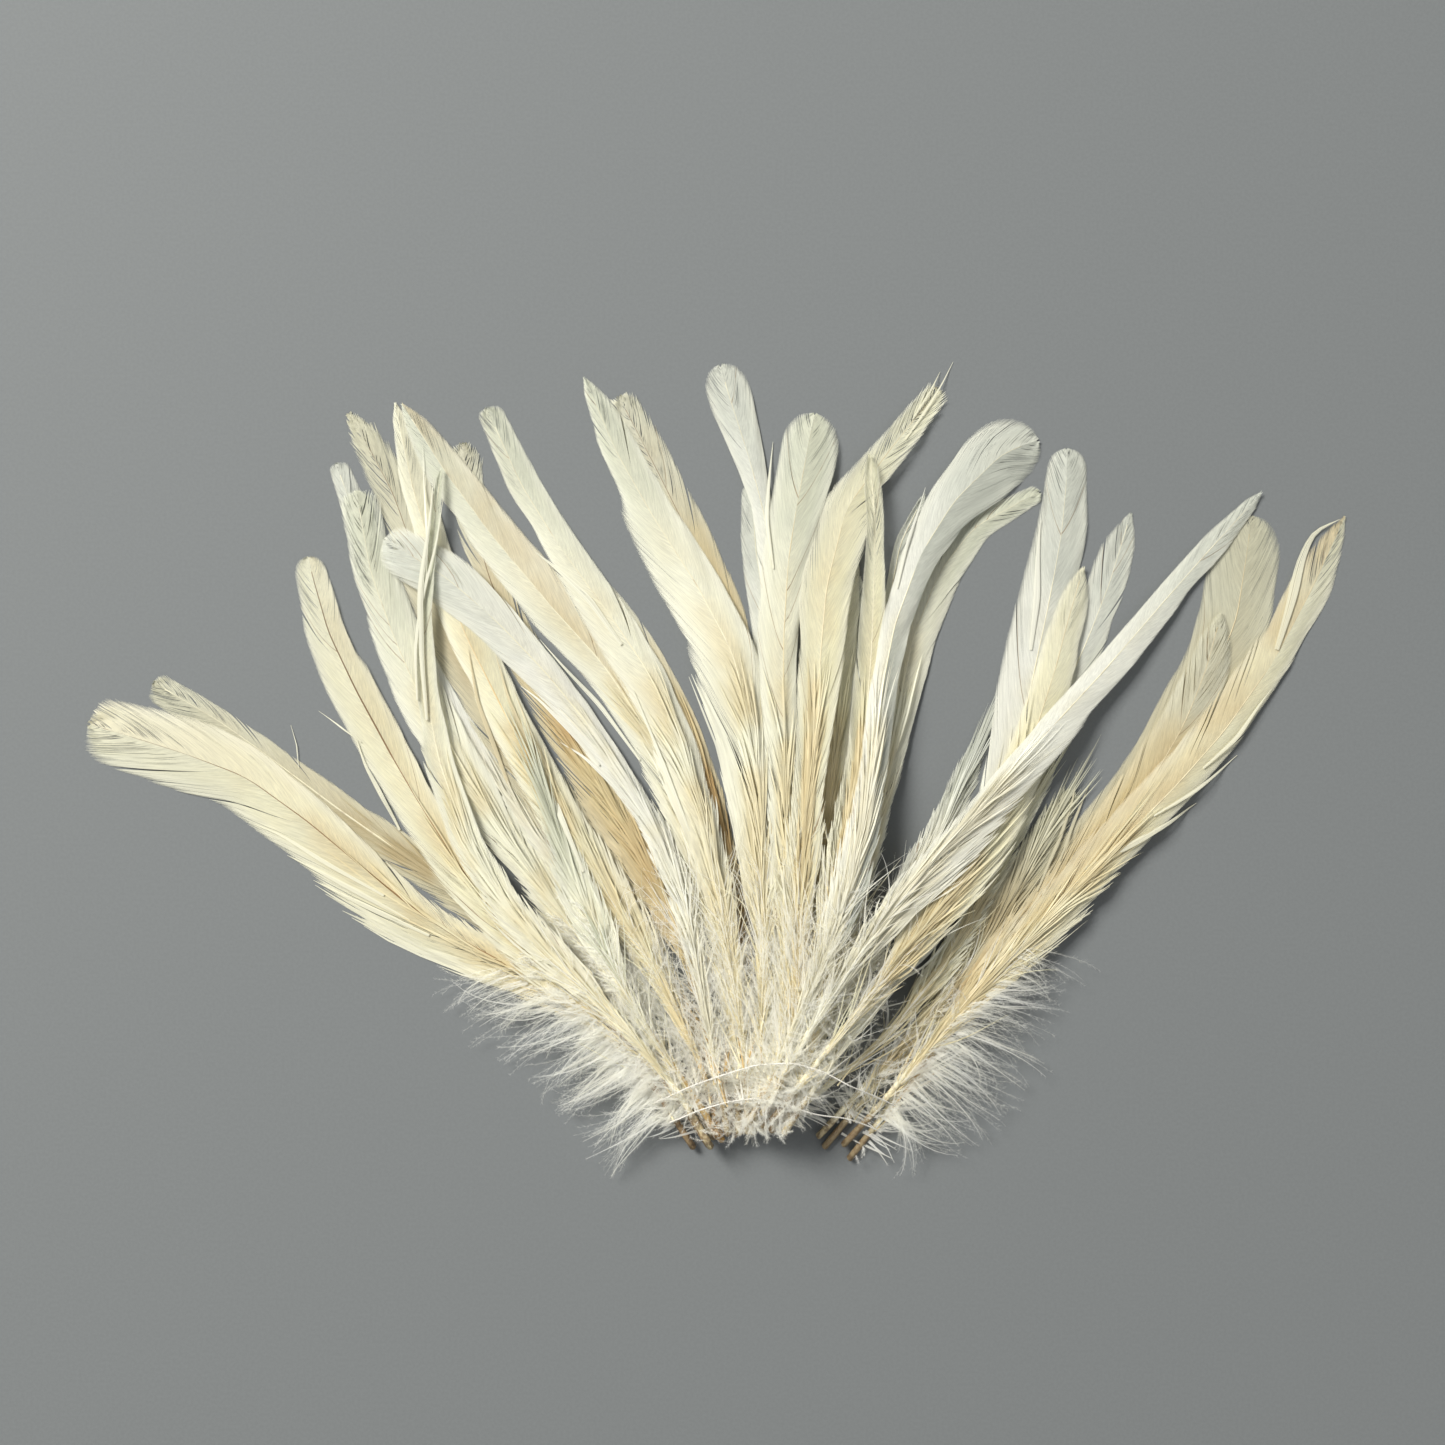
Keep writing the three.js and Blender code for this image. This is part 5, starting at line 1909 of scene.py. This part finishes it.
@dataclass
class Studio:
    """The floor, the lights and the camera, which looks straight down as the photograph does."""

    camera_height: float = 0.58
    sensor: float = 36.0
    floor_size: float = 12.0
    sky: Colour = (0.98, 1.0, 1.0)
    sky_strength: float = 0.36
    lamps: tuple[Lamp, ...] = (
        Lamp("window_light", (-1.8, 1.65, 2.05), size=1.2, power=178.0),
        Lamp("fill_light", (0.9, -0.8, 1.3), size=1.0, power=3.0),
    )

    def build(self) -> None:
        """Sets up the studio, and shows its colours as they are."""
        bpy.context.scene.view_settings.view_transform = "Standard"
        self.floor()
        self.lights()
        self.camera()

    def floor(self) -> None:
        """Lays the floor just beneath the bunch."""
        half = self.floor_size / 2
        mesh = bpy.data.meshes.new("floor")
        corners = [(-half, -half, 0), (half, -half, 0), (half, half, 0), (-half, half, 0)]
        mesh.from_pydata(corners, [], [(0, 1, 2, 3)])
        mesh.materials.append(PaperFinish().material())
        floor = bpy.data.objects.new("floor", mesh)
        bpy.context.scene.collection.objects.link(floor)

    def lights(self) -> None:
        """Hangs the lamps, and fills the shadows from all round."""
        world = bpy.data.worlds.new("studio")
        world.use_nodes = True
        background = world.node_tree.nodes["Background"]
        background.inputs["Color"].default_value = (*self.sky, 1.0)
        background.inputs["Strength"].default_value = self.sky_strength
        bpy.context.scene.world = world
        for lamp in self.lamps:
            lamp.hang()

    def camera(self) -> None:
        """Places the camera over the photograph's middle."""
        middle = from_pixel(PHOTO_PIXELS / 2, PHOTO_PIXELS / 2)
        width = PHOTO_PIXELS * MM_PER_PIXEL * MM
        data = bpy.data.cameras.new("camera")
        data.sensor_width = self.sensor
        data.lens = self.sensor * self.camera_height / width
        data.clip_start = 0.01
        camera = bpy.data.objects.new("camera", data)
        camera.location = (*middle, self.camera_height)
        bpy.context.scene.collection.objects.link(camera)
        bpy.context.scene.camera = camera


@dataclass
class ThreadRow:
    """One row of stitching: two twisted strands over the quills and back beneath them."""

    node: str
    route: tuple[tuple[float, float], ...]
    radius: float = 0.3 * MM
    twist: float = 1.9 * MM
    step: float = 0.5 * MM
    loop: np.ndarray = field(init=False)

    def run(self) -> np.ndarray:
        """Follows the row's solid over the quills and back beneath them.

        Returns:
            The points of the closed run.
        """
        tree = solid_tree(self.node)
        knots = np.array([from_pixel(*pixel) for pixel in self.route])
        lengths = travelled(knots)
        plan = sampled(knots, lengths, np.arange(0, lengths[-1], self.step))
        top, bottom = [], []
        for x, y in zip(*(smoothed(column, 9) for column in plan.T)):
            over, under = surface(tree, x, y, 0.2), surface(tree, x, y, -0.1)
            if not math.isnan(over + under):
                top.append((x, y, over - self.radius))
                bottom.append((x, y, under + self.radius))
        return np.array(top + bottom[::-1])

    def lay(self, pile: Pile) -> None:
        """Lays the row on the pile, so that the soft barbs come to lie over it.

        Args:
            pile: What already lies on the table.
        """
        self.loop = self.run()
        pile.add(self.loop[: len(self.loop) // 2])

    def build(self, material: bpy.types.Material) -> bpy.types.Object:
        """Builds the row in place of its solid.

        Args:
            material: The thread's material.

        Returns:
            The row's object.
        """
        closed = np.vstack([self.loop, self.loop[:1]])
        lengths = travelled(closed)
        along = np.arange(0, lengths[-1], self.step * 0.8)
        line = sampled(closed, lengths, along)
        ahead = np.gradient(line, axis=0)
        side = unit(np.stack([-ahead[:, 1], ahead[:, 0], 0 * along], axis=1) + 1e-9)
        upward = np.cross(unit(ahead), side)
        weave = Weave()
        for strand in (0, 1):
            turn = 2 * math.pi * along / self.twist + strand * math.pi
            offset = side * np.cos(turn)[:, None] + upward * np.sin(turn)[:, None]
            path = line + offset * self.radius * 0.48
            path[:, 2] = np.maximum(path[:, 2], self.radius * 0.5)
            radii = np.full(len(path), self.radius * 0.55)
            weave.tube(path, radii, Slot.THREAD, 5, along / lengths[-1], 0.5)
        made = weave.object(self.node + "_strands", [material])
        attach(made, "root")
        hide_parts(self.node)
        return made


THREAD_ROWS = (
    ThreadRow(
        "thread_upper_row",
        (
            (641, 1110), (662, 1092), (690, 1077), (720, 1065), (755, 1053),
            (790, 1050), (820, 1059), (850, 1076), (880, 1092), (918, 1116),
        ),
    ),
    ThreadRow(
        "thread_lower_row",
        (
            (655, 1130), (676, 1112), (700, 1100), (728, 1090), (755, 1085),
            (782, 1090), (815, 1103), (845, 1110), (870, 1122), (902, 1142),
        ),
    ),
)


def main() -> None:
    """Builds the studio, the feathers from the lowest up, and the stitching."""
    logging.basicConfig(level=logging.INFO, format="%(name)s: %(message)s")
    Studio().build()
    materials = {key: finish.material() for key, finish in (VANES | SHAFTS | DOWN).items()}
    feathers = [Feather(node, look, seed) for seed, (node, look) in enumerate(LOOKS.items())]
    pile = Pile()
    for part in (*feathers, *THREAD_ROWS):
        part.lay(pile)
    made = [feather.dress(pile, materials) for feather in feathers]
    thread = ThreadFinish().material()
    made += [row.build(thread) for row in THREAD_ROWS]
    total = 0
    for piece in made:
        triangles = sum(len(polygon.vertices) - 2 for polygon in piece.data.polygons)
        total += triangles
        LOG.info("%s: %d triangles", piece.name, triangles)
    LOG.info("all pieces: %d triangles", total)


if __name__ == "__main__":
    main()
